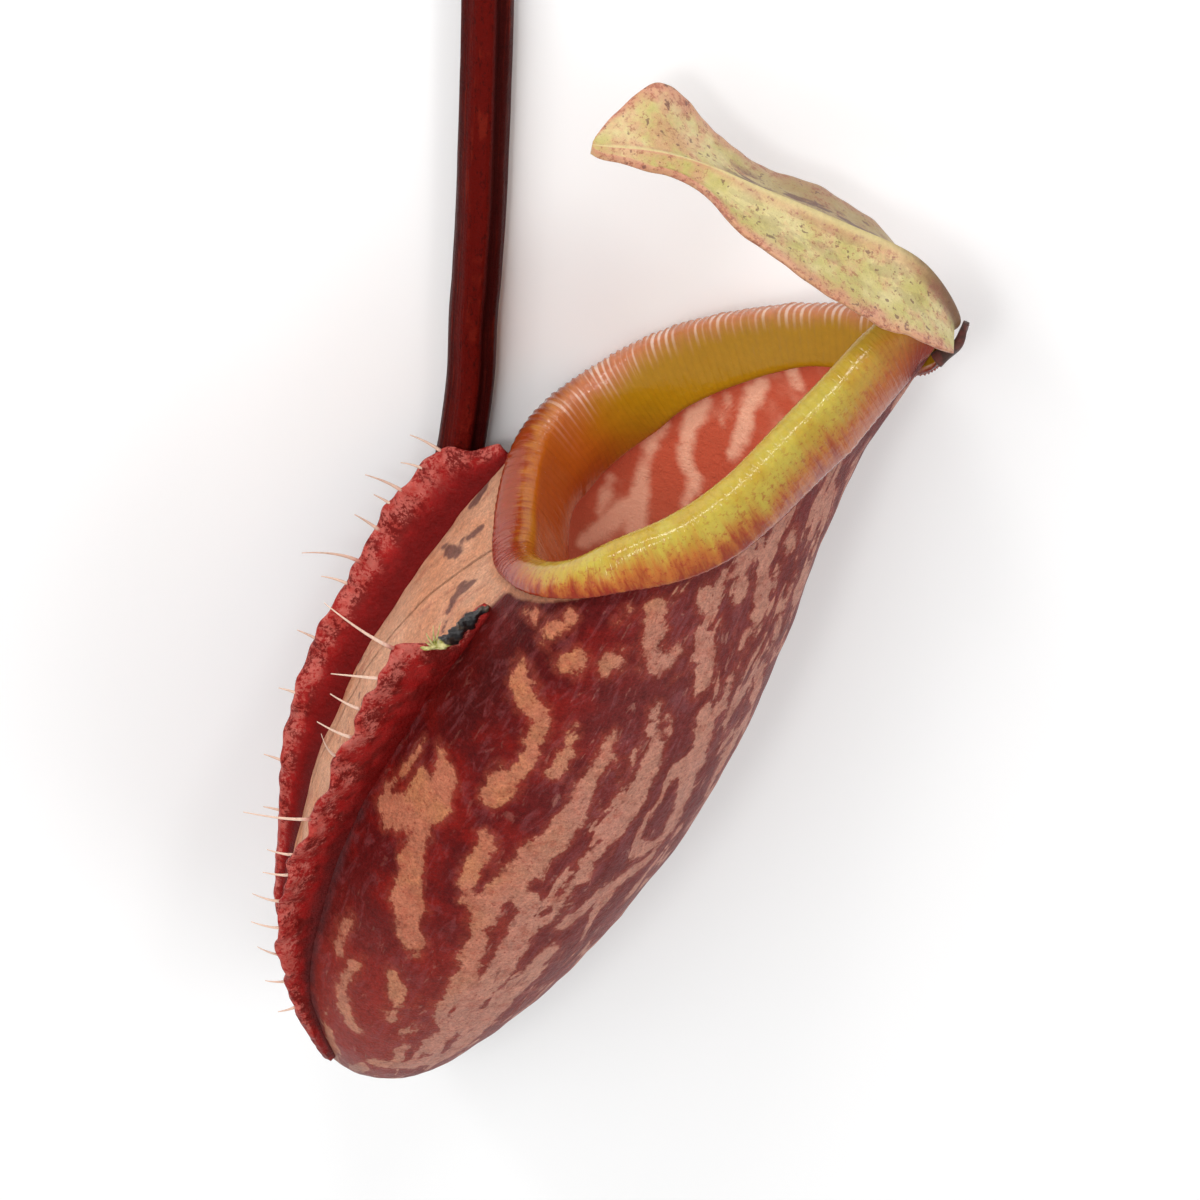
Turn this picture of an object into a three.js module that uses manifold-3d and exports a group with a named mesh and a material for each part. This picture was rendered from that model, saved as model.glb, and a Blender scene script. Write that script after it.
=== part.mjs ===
// A hanging pitcher of a tropical pitcher plant, cut with its tendril and laid on its flank.
//
// Millimetres. The pitcher's plane of symmetry is level, and +Z points up, away from the flank that
// it lies on. +Y runs from the cup's foot to the cut end of the tendril, which is upwards where the
// pitcher hangs, and +X from its winged front to its back. Every shape is worked out round the cup's
// foot, at (0, 0, 0). The whole part then moves, so that its origin is the middle of the underside of
// its bounding box.
//
// A "turn" is an angle round the cup: 0 at its front, a quarter on its upper flank, a half at its back.
// A "rise" runs up the cup, from 0 at its foot to 1 at its rim.

import * as THREE from "three";
import { ConvexGeometry } from "three/addons/geometries/ConvexGeometry.js";
import { mergeVertices } from "three/addons/utils/BufferGeometryUtils.js";
import Module from "manifold-3d";

const wasm = await Module();
wasm.setup();

const { degToRad, lerp, clamp, euclideanModulo, smoothstep } = THREE.MathUtils;

// ---- Driving dimensions ------------------------------------------------------------------------

const GAP = 0.3; // between two pieces that grow from each other
const FLOOR = -17.2; // the level that the flank and the tendril lie on

// The cup's outline in its plane of symmetry, as [x, y] from the foot to the rim, and its girth: half
// of its width across that plane, and how far its widest place lies towards the front.
const CUP_FRONT = [
  [0, 0], [-5, 2], [-7.4, 7.2], [-8.9, 14.6], [-7.5, 24],
  [-5, 33.5], [-0.6, 43.5], [5.4, 51.4], [12.2, 57.4],
];
const CUP_BACK = [
  [0, 0], [5.4, 2], [12.8, 9.2], [20.5, 18.4], [27, 28.4],
  [31.8, 38.8], [35.6, 50], [40, 63.2], [47.5, 77.5],
];
const CUP_GIRTH = [
  [0, 0], [5.8, 0], [11, 0.04], [14.4, 0.08], [16.5, 0.1],
  [17.3, 0.1], [17.2, 0.16], [15.6, 0.42], [12.8, 0.7],
];
const WALL = 1.2;
// How far the mouth's edge rises above a flat cut: from its back round the lower flank, the front and
// the upper flank to its back again.
const MOUTH_ARCH = [0, 0.5, 2.25, 2.3, 2, 2, 0, 2.1, 2.85, 1.5, 2.55, 3.1, 0];
const ARCH_START = 0.75; // the rise from which the wall follows it
const CUP_ROWS = 26;
const CUP_COLUMNS = 40;
const FOOT_CROWDING = 1.15; // above 1, the rows crowd together towards the foot

// The rolled rim: how far it reaches down the outside of the wall, down the inside and inwards, each
// from the front round to the back.
const RIM_OUTER_DROP = [2.2, 1.6, 2.4, 4.5, 5.7, 4.3, 1.4];
const RIM_INNER_DROP = [0.4, 3.6, 4.4, 4.3, 3.3, 3.6, 2.5];
const RIM_REACH = [6.9, 6.4, 4.2, 1.9, 1.9, 2, 1.8];
const RIM_RIBS = 60;
const RIB_HEIGHT = 0.22;
const RIM_OPENING = 12; // degrees left open on each side of the back, for the lid's neck
const RIM_CLEARANCE = 0.5; // round the rim's ends, for the lid and the spur
const RIM_END = 20; // degrees of each end

// The wings: two blades up the front of the cup, from near its foot to just below its rim. For each,
// from its foot to its top: the turn of its root in degrees, its height and how far it leans outwards,
// and near its top where its height starts and stops falling, and to what share. Its hairs stand on its
// edge: how far up the wing each stands, its length and its bow to the rim.
const WING_UPPER = {
  side: 1,
  turn: [38, 34.4, 30.6, 29.5, 30.6, 31.5, 29, 25],
  height: [0.6, 1.1, 2, 4.2, 5.2, 5.2, 6.1, 6.2, 5.3],
  splay: 0.27,
  fall: [0.888, 0.925, 0.15],
  hairs: [
    [0.2, 1.8, 0.2], [0.27, 2.2, 0.2], [0.335, 2.6, 0.3], [0.39, 2.6, 0.2],
    [0.43, 2.6, 0.1], [0.485, 2.4, 0], [0.585, 5.8, 0.1], [0.665, 2.8, 0.5],
    [0.7, 3.2, 0.4], [0.745, 2.8, 0.3], [0.805, 4.6, 0.1], [0.855, 7, 0.3],
  ],
};
const WING_LOWER = {
  side: -1,
  turn: [18, 14, 10, 7, 9.4, 16.3, 25.5, 33.8],
  height: [0.6, 1, 1.2, 1.6, 2.8, 4.1, 4.5, 5.3, 4.4],
  splay: 0.14,
  fall: [0.935, 1.01, 0.28],
  hairs: [
    [0.25, 2, 0.2], [0.34, 2.2, 0.3], [0.43, 2.2, 0.2], [0.52, 2, 0.1],
    [0.61, 2, 0.2], [0.69, 2.2, 0.1], [0.74, 4.6, 0], [0.775, 2, 0.2],
    [0.81, 2, 0], [0.85, 3.4, -0.2], [0.905, 2, 0.1], [0.935, 3, 0.2],
  ],
};
const WING_RISE = [0.2, 0.94];
const WING_ROOT_THICKNESS = 1.7;
const WING_EDGE_THICKNESS = 0.8;
const WING_ROOT_DEPTH = 1.5;
const WING_WAVE = 0.5; // how far the edge waves from side to side
const WING_WAVES = 11;
const WING_STATIONS = 44;
const HAIR_RADIUS = 0.38;
const HAIR_ROOT_DEPTH = 0.9;
const HAIR_SIDES = 3;

// The lid, from its neck to its tip: its midrib, and for its two halves their width and how far they
// droop in degrees. At the tip the upper half is only a fold, and the lower one curls up.
const LID_MIDRIB = [
  [47, 77.4], [48.2, 79.1], [45, 84.3], [38.9, 87.8],
  [32.2, 91.1], [27.5, 93.4], [23, 94.8], [18.5, 95.7],
];
const LID_UPPER = {
  width: [2.3, 5.1, 7.5, 7.5, 5.4, 1.6, 1, 0.7],
  droop: [3, 5, 21, 17, 14, 26, 30, 22],
};
const LID_LOWER = {
  width: [2.4, 5.3, 7.2, 7.5, 6.7, 6.6, 6.6, 1.6],
  droop: [9, 19, 21, 11, 10, -4.5, -30, -14],
};
const LID_THICKNESS = 0.9; // at the midrib
const LID_THINNING = 0.3; // the share of it lost at the edges
const LID_STATIONS = 24;
const LID_STRIPS = 5; // on each side of the midrib

// The tendril, from the cup's foot to the cut end, with a groove along it.
const TENDRIL_PATH = [
  [0, 1.4, -1], [-0.6, -2.2, -4.4], [-1, -3, -9.4], [-1.2, 0.6, -13.6],
  [-1.2, 8, -15.2], [-0.9, 20, -15.3], [1, 33, -15.3], [4.5, 46, -15.3],
  [7.4, 58, -15.3], [8.8, 76, -15.2], [9.6, 94, -15.2], [10.1, 111, -15.2],
];
const TENDRIL_RADIUS = [3.2, 2.6, 2.2, 2.05, 2, 2, 2, 2, 2.05, 2.1, 2.15, 2.2];
const TENDRIL_SIDES = 14;
const TENDRIL_STATIONS = 48;
const GROOVE_SIDE = 12; // the corner of the section that it runs along
const GROOVE_DEPTH = 0.45;
const GROOVE_START = 0.25; // the share of the length over which it deepens

// The spur behind the lid's neck.
const SPUR_PATH = [[46.9, 74.9], [48.3, 76.2], [48.9, 77.3], [49.2, 78.6]];
const SPUR_RADIUS = [0.7, 0.55, 0.42, 0.3];
const SPUR_SIDES = 8;
const SPUR_STATIONS = 8;

const MATERIALS = {
  cup: { color: 0x8c3a3a, roughness: 0.5, metalness: 0 },
  rim: { color: 0xb88a2c, roughness: 0.18, metalness: 0 },
  wing: { color: 0xa8484c, roughness: 0.6, metalness: 0 },
  lid: { color: 0xb5a268, roughness: 0.55, metalness: 0 },
  spur: { color: 0x3c2a22, roughness: 0.8, metalness: 0 },
  tendril: { color: 0x4a0f10, roughness: 0.5, metalness: 0 },
};

// ---- Curves and skins --------------------------------------------------------------------------

const range = (count) => Array.from({ length: count }, (_, i) => i);

const turns = (count) => range(count).map((i) => (2 * Math.PI * i) / count);

// A smooth curve that passes its points at equal steps of its parameter.
function through(points) {
  const vectors = points.map(([x, y = 0, z = 0]) => new THREE.Vector3(x, y, z));
  return new THREE.CatmullRomCurve3(vectors, false, "catmullrom", 0.5);
}

// A number that changes smoothly through the values, at equal steps from 0 to 1.
function along(values) {
  const curve = through(values.map((value) => [value]));
  return (t) => curve.getPoint(clamp(t, 0, 1)).x;
}

const middleOf = (points) =>
  points.reduce((sum, point) => sum.add(point), new THREE.Vector3()).divideScalar(points.length);

// The closed surface over rows of points, where each row runs all the way round. It is capped at both
// ends by a fan to the given points, or to the row's own middle.
function skin(rows, start = middleOf(rows[0]), end = middleOf(rows.at(-1))) {
  const count = rows[0].length;
  const at = (row, column) => row * count + (column % count);
  const startAt = rows.length * count;
  const faces = [];
  for (const column of range(count)) {
    faces.push(startAt, at(0, column + 1), at(0, column));
    faces.push(startAt + 1, at(rows.length - 1, column), at(rows.length - 1, column + 1));
    for (const row of range(rows.length - 1)) {
      faces.push(at(row, column), at(row, column + 1), at(row + 1, column + 1));
      faces.push(at(row, column), at(row + 1, column + 1), at(row + 1, column));
    }
  }
  return solid(new THREE.BufferGeometry().setFromPoints([...rows.flat(), start, end]).setIndex(faces));
}

// ---- Solids ------------------------------------------------------------------------------------

// A geometry with nothing but its positions, so that its corners can be merged.
function bare(geometry) {
  return geometry.deleteAttribute("normal").deleteAttribute("uv");
}

function solid(geometry) {
  const merged = mergeVertices(geometry, 1e-5);
  return new wasm.Manifold(
    new wasm.Mesh({
      numProp: 3,
      vertProperties: new Float32Array(merged.attributes.position.array),
      triVerts: new Uint32Array(merged.index.array),
    }),
  );
}

function geometryOf(body) {
  const { vertProperties, triVerts } = body.getMesh();
  return new THREE.BufferGeometry()
    .setAttribute("position", new THREE.BufferAttribute(vertProperties, 3))
    .setIndex(new THREE.BufferAttribute(triVerts, 1));
}

const largestOf = (bodies) =>
  bodies.reduce((largest, body) => (body.volume() > largest.volume() ? body : largest));

// ---- The cup -----------------------------------------------------------------------------------

const cupFront = through(CUP_FRONT);
const cupBack = through(CUP_BACK);
const cupGirth = through(CUP_GIRTH);
const mouthLong = cupBack.getPoint(1).sub(cupFront.getPoint(1)).normalize();
const mouthUp = new THREE.Vector3(-mouthLong.y, mouthLong.x, 0);

const mouthEdge = along(MOUTH_ARCH);

function mouthArch(rise, turn) {
  const lift = clamp((rise - ARCH_START) / (1 - ARCH_START), 0, 1) ** 2;
  return lift * mouthEdge(euclideanModulo(turn + Math.PI, 2 * Math.PI) / (2 * Math.PI));
}

function cupPoint(rise, turn) {
  const { x: halfWidth, y: lean } = cupGirth.getPoint(rise);
  const backwards = (1 - Math.cos(turn)) / 2;
  const point = cupFront.getPoint(rise).lerp(cupBack.getPoint(rise), backwards);
  point.z = halfWidth * Math.sin(turn) * (1 + lean * Math.cos(turn));
  return point.addScaledVector(mouthUp, mouthArch(rise, turn));
}

// At a place on the cup: the way round it, the way out of its wall and the way up its wall.
function cupFrame(rise, turn) {
  const step = 1e-3;
  const [below, above] = [Math.max(rise - step, 1e-4), Math.min(rise + step, 1)];
  const round = cupPoint(rise, turn + step).sub(cupPoint(rise, turn - step)).normalize();
  const climb = cupPoint(above, turn).sub(cupPoint(below, turn));
  const out = new THREE.Vector3().crossVectors(round, climb).normalize();
  const up = new THREE.Vector3().crossVectors(out, round);
  return { round, out, up };
}

// The cup's rows of points from just above the foot to the rim, pushed outwards, and the last row
// raised above the rim.
function cupRows(outwards, raised = 0) {
  return range(CUP_ROWS).map((row) => {
    const rise = ((row + 1) / CUP_ROWS) ** FOOT_CROWDING;
    const lift = row === CUP_ROWS - 1 ? raised : 0;
    return turns(CUP_COLUMNS).map((turn) => {
      const { out, up } = cupFrame(rise, turn);
      return cupPoint(rise, turn).addScaledVector(out, outwards).addScaledVector(up, lift);
    });
  });
}

const footPoint = (outwards) => new THREE.Vector3(0, -outwards, 0);

// The cup's wall, grown on all its sides by a clearance.
function cupWall(clearance = 0) {
  const depth = -WALL - clearance;
  const rows = [...cupRows(clearance, clearance), ...cupRows(depth, clearance).reverse()];
  return skin(rows, footPoint(clearance), footPoint(depth));
}

// The cup as if it were filled to its rim, grown by a clearance.
const cupFilled = (clearance) => skin(cupRows(clearance), footPoint(clearance));

// ---- The rolled rim ----------------------------------------------------------------------------

const lastRimTurn = Math.PI - degToRad(RIM_OPENING);
const rimOuterDrop = along(RIM_OUTER_DROP);
const rimInnerDrop = along(RIM_INNER_DROP);
const rimReach = along(RIM_REACH);

// One closed section through the rim: from its outer margin over the top to its inner edge, and back
// beneath, through the wall. The two sides meet at the back without crossing.
function rimSection(turn, swell) {
  const { out, up } = cupFrame(1, turn);
  const edge = cupPoint(1, turn).addScaledVector(out, -WALL / 2);
  const backwards = Math.abs(turn) / Math.PI;
  const outer = -rimOuterDrop(backwards);
  const inner = -rimInnerDrop(backwards);
  const reach = -rimReach(backwards);
  const section = [
    [0.9, outer],
    [1.4 + 0.5 * swell, outer + 0.1],
    [1.6 + swell, outer * 0.5],
    [1.2 + 0.7 * swell, 0.5 + 0.7 * swell],
    [0.2, 1.3 + swell],
    [-1.1 - 0.4 * swell, 1 + 0.6 * swell],
    [reach * 0.7 - 0.4, inner * 0.3],
    [reach - 0.2, inner],
    [reach + 0.6, inner + 0.1],
    [-1.5, -0.9],
    [0, -0.8],
    [0.8, -1.2],
  ];
  const side = Math.sign(turn) || 1;
  return section.map(([outwards, upwards]) => {
    const point = edge.clone().addScaledVector(out, outwards).addScaledVector(up, upwards);
    return point.setZ(side * Math.max(side * point.z, GAP));
  });
}

// The rim swells to a rib at every other section.
function rolledRim() {
  const columns = RIM_RIBS * 2;
  const rows = range(columns + 1).map((i) =>
    rimSection(lerp(lastRimTurn, -lastRimTurn, i / columns), i % 2 ? RIB_HEIGHT : 0),
  );
  return skin(rows).subtract(cupWall(GAP));
}

// The rim's two ends with what lies between them, as one convex lump, grown by a clearance.
function rimEnds() {
  const sections = [-1, 1].flatMap((side) =>
    [0, 0.25, 0.5, 1].map((share) =>
      rimSection(side * (lastRimTurn - share * degToRad(RIM_END)), RIB_HEIGHT + RIM_CLEARANCE),
    ),
  );
  return solid(bare(new ConvexGeometry(sections.flat())));
}

// ---- The wings ---------------------------------------------------------------------------------

function wingCurves({ turn, height, fall, ...wing }) {
  const fullHeight = along(height);
  const [start, stop, share] = fall;
  const heightAt = (t) => fullHeight(t) * lerp(1, share, smoothstep(t, start, stop));
  return { ...wing, turnAt: along(turn), heightAt };
}

// A wing's root at a share t of the way up it, with the ways across it, up it and out to its edge.
function wingFrame({ side, splay, turnAt }, t) {
  const rise = lerp(...WING_RISE, t);
  const turn = side * degToRad(turnAt(t));
  const { round, out, up } = cupFrame(rise, turn);
  const across = round.multiplyScalar(side);
  const outwards = out.addScaledVector(across, splay).normalize();
  return { root: cupPoint(rise, turn), across, up, outwards };
}

const wingWave = ({ heightAt }, t) =>
  WING_WAVE * Math.sin(t * WING_WAVES * 2 * Math.PI) * Math.min(1, heightAt(t) / 4);

// A blade: its two faces are the same points pushed apart, so that they stay parallel.
function wingBlade(wing) {
  const rows = range(WING_STATIONS + 1).map((i) => {
    const t = i / WING_STATIONS;
    const { root, across, outwards } = wingFrame(wing, t);
    const at = (share, face) => {
      const reach = share < 0 ? -WING_ROOT_DEPTH : share * wing.heightAt(t);
      const waved = wingWave(wing, t) * Math.max(share, 0) ** 2;
      const half = lerp(WING_ROOT_THICKNESS, WING_EDGE_THICKNESS, Math.max(share, 0) ** 0.5) / 2;
      return root.clone().addScaledVector(outwards, reach).addScaledVector(across, waved + face * half);
    };
    const shares = [-1, 0.3, 0.7, 1];
    return [
      ...shares.map((share) => at(share, -wing.side)),
      ...shares.toReversed().map((share) => at(share, wing.side)),
    ];
  });
  return skin(rows);
}

// A hair: a spike from inside the blade, bowed towards the rim.
function hair(wing, [t, length, bow]) {
  const { root, across, up, outwards } = wingFrame(wing, t);
  const height = wing.heightAt(t);
  const base = root.addScaledVector(outwards, height).addScaledVector(across, wingWave(wing, t));
  const centre = (reach) =>
    base.clone()
      .addScaledVector(outwards, reach)
      .addScaledVector(up, bow * length * Math.max(reach / length, 0) ** 2);
  const rows = [-HAIR_ROOT_DEPTH, length * 0.35, length * 0.7].map((reach) => {
    const radius = HAIR_RADIUS * (1 - 0.45 * Math.max(reach / length, 0));
    return turns(HAIR_SIDES).map((turn) =>
      centre(reach)
        .addScaledVector(up, radius * Math.cos(turn))
        .addScaledVector(across, -wing.side * radius * Math.sin(turn)),
    );
  });
  return skin(rows, centre(-HAIR_ROOT_DEPTH), centre(length));
}

function fringedWing(settings) {
  const wing = wingCurves(settings);
  return wing.hairs.reduce((body, one) => body.add(hair(wing, one)), wingBlade(wing));
}

// ---- The lid -----------------------------------------------------------------------------------

const lidMidrib = through(LID_MIDRIB);
const lidHalf = ({ width, droop }) => ({ widthAt: along(width), droopAt: along(droop) });
const lidUpper = lidHalf(LID_UPPER);
const lidLower = lidHalf(LID_LOWER);

// The lid's halves droop from its midrib like a roof.
function lid() {
  const rows = range(LID_STATIONS + 1).map((i) => {
    const t = i / LID_STATIONS;
    const tangent = lidMidrib.getTangent(t);
    const topside = new THREE.Vector3(tangent.y, -tangent.x, 0);
    const at = (share, depth) => {
      const { widthAt, droopAt } = share < 0 ? lidLower : lidUpper;
      const droop = degToRad(droopAt(t));
      const fall = Math.abs(share) * widthAt(t) * Math.sin(droop);
      const point = lidMidrib.getPoint(t).addScaledVector(topside, -fall - depth);
      return point.setZ(share * widthAt(t) * Math.cos(droop));
    };
    const thickness = (share) => LID_THICKNESS * (1 - LID_THINNING * Math.abs(share));
    const shares = range(2 * LID_STRIPS + 1).map((k) => k / LID_STRIPS - 1);
    return [
      ...shares.map((share) => at(share, thickness(share))),
      ...shares.toReversed().map((share) => at(share, 0)),
    ];
  });
  return skin(rows);
}

// ---- The tendril and the spur ------------------------------------------------------------------

// A round stem along a curve: radiusAt gives its radius at a share of the way along and a corner.
function stem(path, stations, sides, first, radiusAt) {
  const rows = range(stations + 1).map((i) => {
    const t = i / stations;
    const tangent = path.getTangent(t);
    const across = new THREE.Vector3().crossVectors(tangent, first).normalize();
    const front = new THREE.Vector3().crossVectors(across, tangent);
    return turns(sides).map((turn, corner) =>
      path.getPoint(t)
        .addScaledVector(front, radiusAt(t, corner) * Math.cos(turn))
        .addScaledVector(across, radiusAt(t, corner) * Math.sin(turn)),
    );
  });
  return skin(rows);
}

function tendril(clearance = 0) {
  const radius = along(TENDRIL_RADIUS);
  const groove = (t) => GROOVE_DEPTH * Math.min(t / GROOVE_START, 1);
  return stem(
    through(TENDRIL_PATH), TENDRIL_STATIONS, TENDRIL_SIDES, new THREE.Vector3(1, 0, 0),
    (t, corner) => radius(t) + clearance - (corner === GROOVE_SIDE ? groove(t) : 0),
  );
}

function spur() {
  const radius = along(SPUR_RADIUS);
  return stem(through(SPUR_PATH), SPUR_STATIONS, SPUR_SIDES, new THREE.Vector3(0, 0, 1), radius);
}

// ---- The part ----------------------------------------------------------------------------------

// The surface under the part, which cuts a narrow flat into what lies on it.
const belowFloor = () => solid(bare(new THREE.BoxGeometry(400, 400, 20).translate(0, 0, FLOOR - 10)));

const underside = belowFloor();
const cupClearance = cupFilled(GAP);
const neckClearance = cupClearance.add(rimEnds());
const part = new THREE.Group();

// A cut can leave a loose scrap beside the piece, and the scrap is dropped.
function add(name, body, material) {
  const geometry = geometryOf(largestOf(body.subtract(underside).decompose()));
  const mesh = new THREE.Mesh(geometry, new THREE.MeshStandardMaterial(material));
  mesh.name = name;
  part.add(mesh);
}

add("cup", cupWall(), MATERIALS.cup);
add("rolled_rim", rolledRim(), MATERIALS.rim);
add("wing_upper", fringedWing(WING_UPPER).subtract(cupClearance), MATERIALS.wing);
add("wing_lower", fringedWing(WING_LOWER).subtract(cupClearance).subtract(tendril(GAP)), MATERIALS.wing);
add("lid", lid().subtract(neckClearance), MATERIALS.lid);
add("spur", spur().subtract(neckClearance), MATERIALS.spur);
add("tendril", tendril().subtract(cupClearance), MATERIALS.tendril);

const bounds = new THREE.Box3().setFromObject(part);
const centre = bounds.getCenter(new THREE.Vector3());
part.position.set(-centre.x, -centre.y, -bounds.min.z);

export default part;
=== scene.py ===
import math
from dataclasses import dataclass

import bpy
import numpy as np
from mathutils import Matrix, Vector, noise


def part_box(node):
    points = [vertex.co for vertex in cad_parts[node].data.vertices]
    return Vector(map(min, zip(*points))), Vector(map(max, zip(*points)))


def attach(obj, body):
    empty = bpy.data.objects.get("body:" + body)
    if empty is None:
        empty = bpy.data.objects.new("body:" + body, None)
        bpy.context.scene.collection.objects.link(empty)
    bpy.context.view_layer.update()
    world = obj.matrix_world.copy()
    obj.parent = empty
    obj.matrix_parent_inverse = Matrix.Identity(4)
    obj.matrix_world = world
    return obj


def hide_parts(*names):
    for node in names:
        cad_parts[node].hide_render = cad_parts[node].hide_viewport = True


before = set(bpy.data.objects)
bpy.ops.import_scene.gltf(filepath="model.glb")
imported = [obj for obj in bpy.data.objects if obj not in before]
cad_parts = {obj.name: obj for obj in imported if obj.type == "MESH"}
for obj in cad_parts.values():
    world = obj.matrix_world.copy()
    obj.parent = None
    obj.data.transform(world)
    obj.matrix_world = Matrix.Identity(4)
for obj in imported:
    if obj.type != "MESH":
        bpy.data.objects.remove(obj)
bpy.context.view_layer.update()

bl_info = {
    "name": "Hanging Pitcher",
    "version": (1, 0, 0),
    "blender": (4, 5, 0),
    "location": "3D View > Sidebar > Pitcher",
    "description": "Builds a tropical pitcher with its rolled rim, wings, lid and tendril",
    "category": "Add Mesh",
}

MM = 0.001

# All shapes below are worked out in millimetres round the cup's foot. A turn is an angle round the
# cup: 0 at its front, a quarter on the flank that faces up, a half at its back. A rise runs from 0
# at the foot to 1 at the mouth.

# ---- The pitcher's form ------------------------------------------------------------------------

CUP_FRONT = [
    (0, 0), (-5, 2), (-7.4, 7.2), (-8.9, 14.6), (-7.5, 24),
    (-5, 33.5), (-0.6, 43.5), (5.4, 51.4), (12.2, 57.4),
]
CUP_BACK = [
    (0, 0), (5.4, 2), (12.8, 9.2), (20.5, 18.4), (27, 28.4),
    (31.8, 38.8), (35.6, 50), (40, 63.2), (47.5, 77.5),
]
CUP_GIRTH = [
    (0, 0), (5.8, 0), (11, 0.04), (14.4, 0.08), (16.5, 0.1),
    (17.3, 0.1), (17.2, 0.16), (15.6, 0.42), (12.8, 0.7),
]
CUP_RADIUS = [1, 6, 10, 13, 15, 16.5, 17, 16, 15]
WALL = 1.2
FOOT_HEIGHT = 17.2  # over the floor, with the flank pressed to a narrow flat
MOUTH_ARCH = [0, 0.5, 2.25, 2.3, 2, 2, 0, 2.1, 2.85, 1.5, 2.55, 3.1, 0]
ARCH_START = 0.75

RIM_OUTER_DROP = [2.2, 1.6, 2.4, 4.5, 5.7, 4.3, 1.4]
RIM_INNER_DROP = [0.4, 3.6, 4.4, 4.3, 3.3, 3.6, 2.5]
RIM_REACH = [6.9, 6.4, 4.2, 1.9, 1.9, 2, 1.8]
RIM_OPENING = 11
RIM_SEAM = 0.1

WING_RISE = (0.2, 0.94)
WING_WAVES = 11
WING_PATTERN = 46  # the length in mm that the skin's pattern is drawn for, short of the blade's

LID_LENGTH = 38
LID_MIDRIB = [
    (47, 77.4), (48.2, 79.1), (45, 84.3), (38.9, 87.8),
    (32.2, 91.1), (27.5, 93.4), (23, 94.8), (18.5, 95.7),
]
LID_NEAR_WIDTH = [2.3, 5.1, 7.5, 7.5, 5.4, 1.6, 1, 0.7]
LID_NEAR_DROOP = [3, 5, 21, 17, 14, 26, 30, 22]
LID_FAR_WIDTH = [2.4, 5.3, 7.2, 7.5, 6.7, 6.6, 6.6, 1.6]
LID_FAR_DROOP = [9, 19, 21, 11, 10, -4.5, -30, -14]

TENDRIL_PATTERN = 155  # the same for the tendril, past its own length
# the angle round the tendril of the side that faces up, which the skin paints brighter as a
# highlight
TENDRIL_LIT_SIDE = math.radians(268)
TENDRIL_GROOVE = 2 * math.pi * 12 / 14
TENDRIL_PATH = [
    (0, 1.4, -1), (-0.6, -2.2, -4.4), (-1, -3, -9.4), (-1.2, 0.6, -13.6),
    (-1.2, 8, -15.2), (-0.9, 20, -15.3), (1, 33, -15.3), (4.5, 46, -15.3),
    (7.4, 58, -15.3), (8.8, 76, -15.2), (9.6, 94, -15.2), (10.1, 111, -15.2),
]
TENDRIL_RADIUS = [3.2, 2.6, 2.2, 2.05, 2, 2, 2, 2, 2.05, 2.1, 2.15, 2.2]

SPUR_PATH = [(46.9, 74.9, 0), (48.3, 76.2, 0), (48.9, 77.3, 0), (49.2, 78.6, 0)]
SPUR_RADIUS = [0.7, 0.5, 0.36, 0.24]

# Each hair of a wing's fringe: how far up the wing it stands, its length, and as shares of that its
# bow towards the rim and across the blade.
HAIRS_NEAR = [
    (0.2, 1.8, 0.2, -0.4), (0.26, 2, 0.3, -0.5), (0.323, 2.1, 0.5, -0.6), (0.391, 2.6, 0.2, -0.7),
    (0.438, 2.4, 0.3, -0.65), (0.497, 2.1, 0, -0.8), (0.531, 2.1, 0.1, -0.8),
    (0.599, 5.8, -0.05, -0.68), (0.704, 3.8, 0.79, 0.2), (0.743, 3.2, 0.19, -0.68),
    (0.785, 2.7, 0.19, -0.75), (0.843, 4.6, -0.23, -0.51), (0.885, 7.6, 0.16, -0.54),
]
HAIRS_FAR = [
    (0.43, 1.6, 0, -0.2), (0.514, 1.9, 0.1, -0.2), (0.614, 1.6, -0.3, 0), (0.68, 2, 0.1, -0.3),
    (0.751, 2.3, -0.39, -0.17), (0.787, 5, -0.06, -0.7), (0.824, 2.5, 0.22, -0.43),
    (0.856, 1.9, 0.1, -0.4), (0.883, 3.8, 0.1, -0.5), (0.914, 1.8, -0.38, -0.41),
    (0.941, 3.1, -0.17, -0.26),
]

# ---- The view ----------------------------------------------------------------------------------

FRAME_PIXELS = 1200
FIELD = 102
DISTANCE = 500
ELEVATION = math.radians(54)
AIM = np.array([19.1, 50.4, 0])
TO_CAMERA = np.array([0, math.cos(ELEVATION), math.sin(ELEVATION)])
IMAGE_UP = np.array([0, TO_CAMERA[2], -TO_CAMERA[1]])

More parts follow.
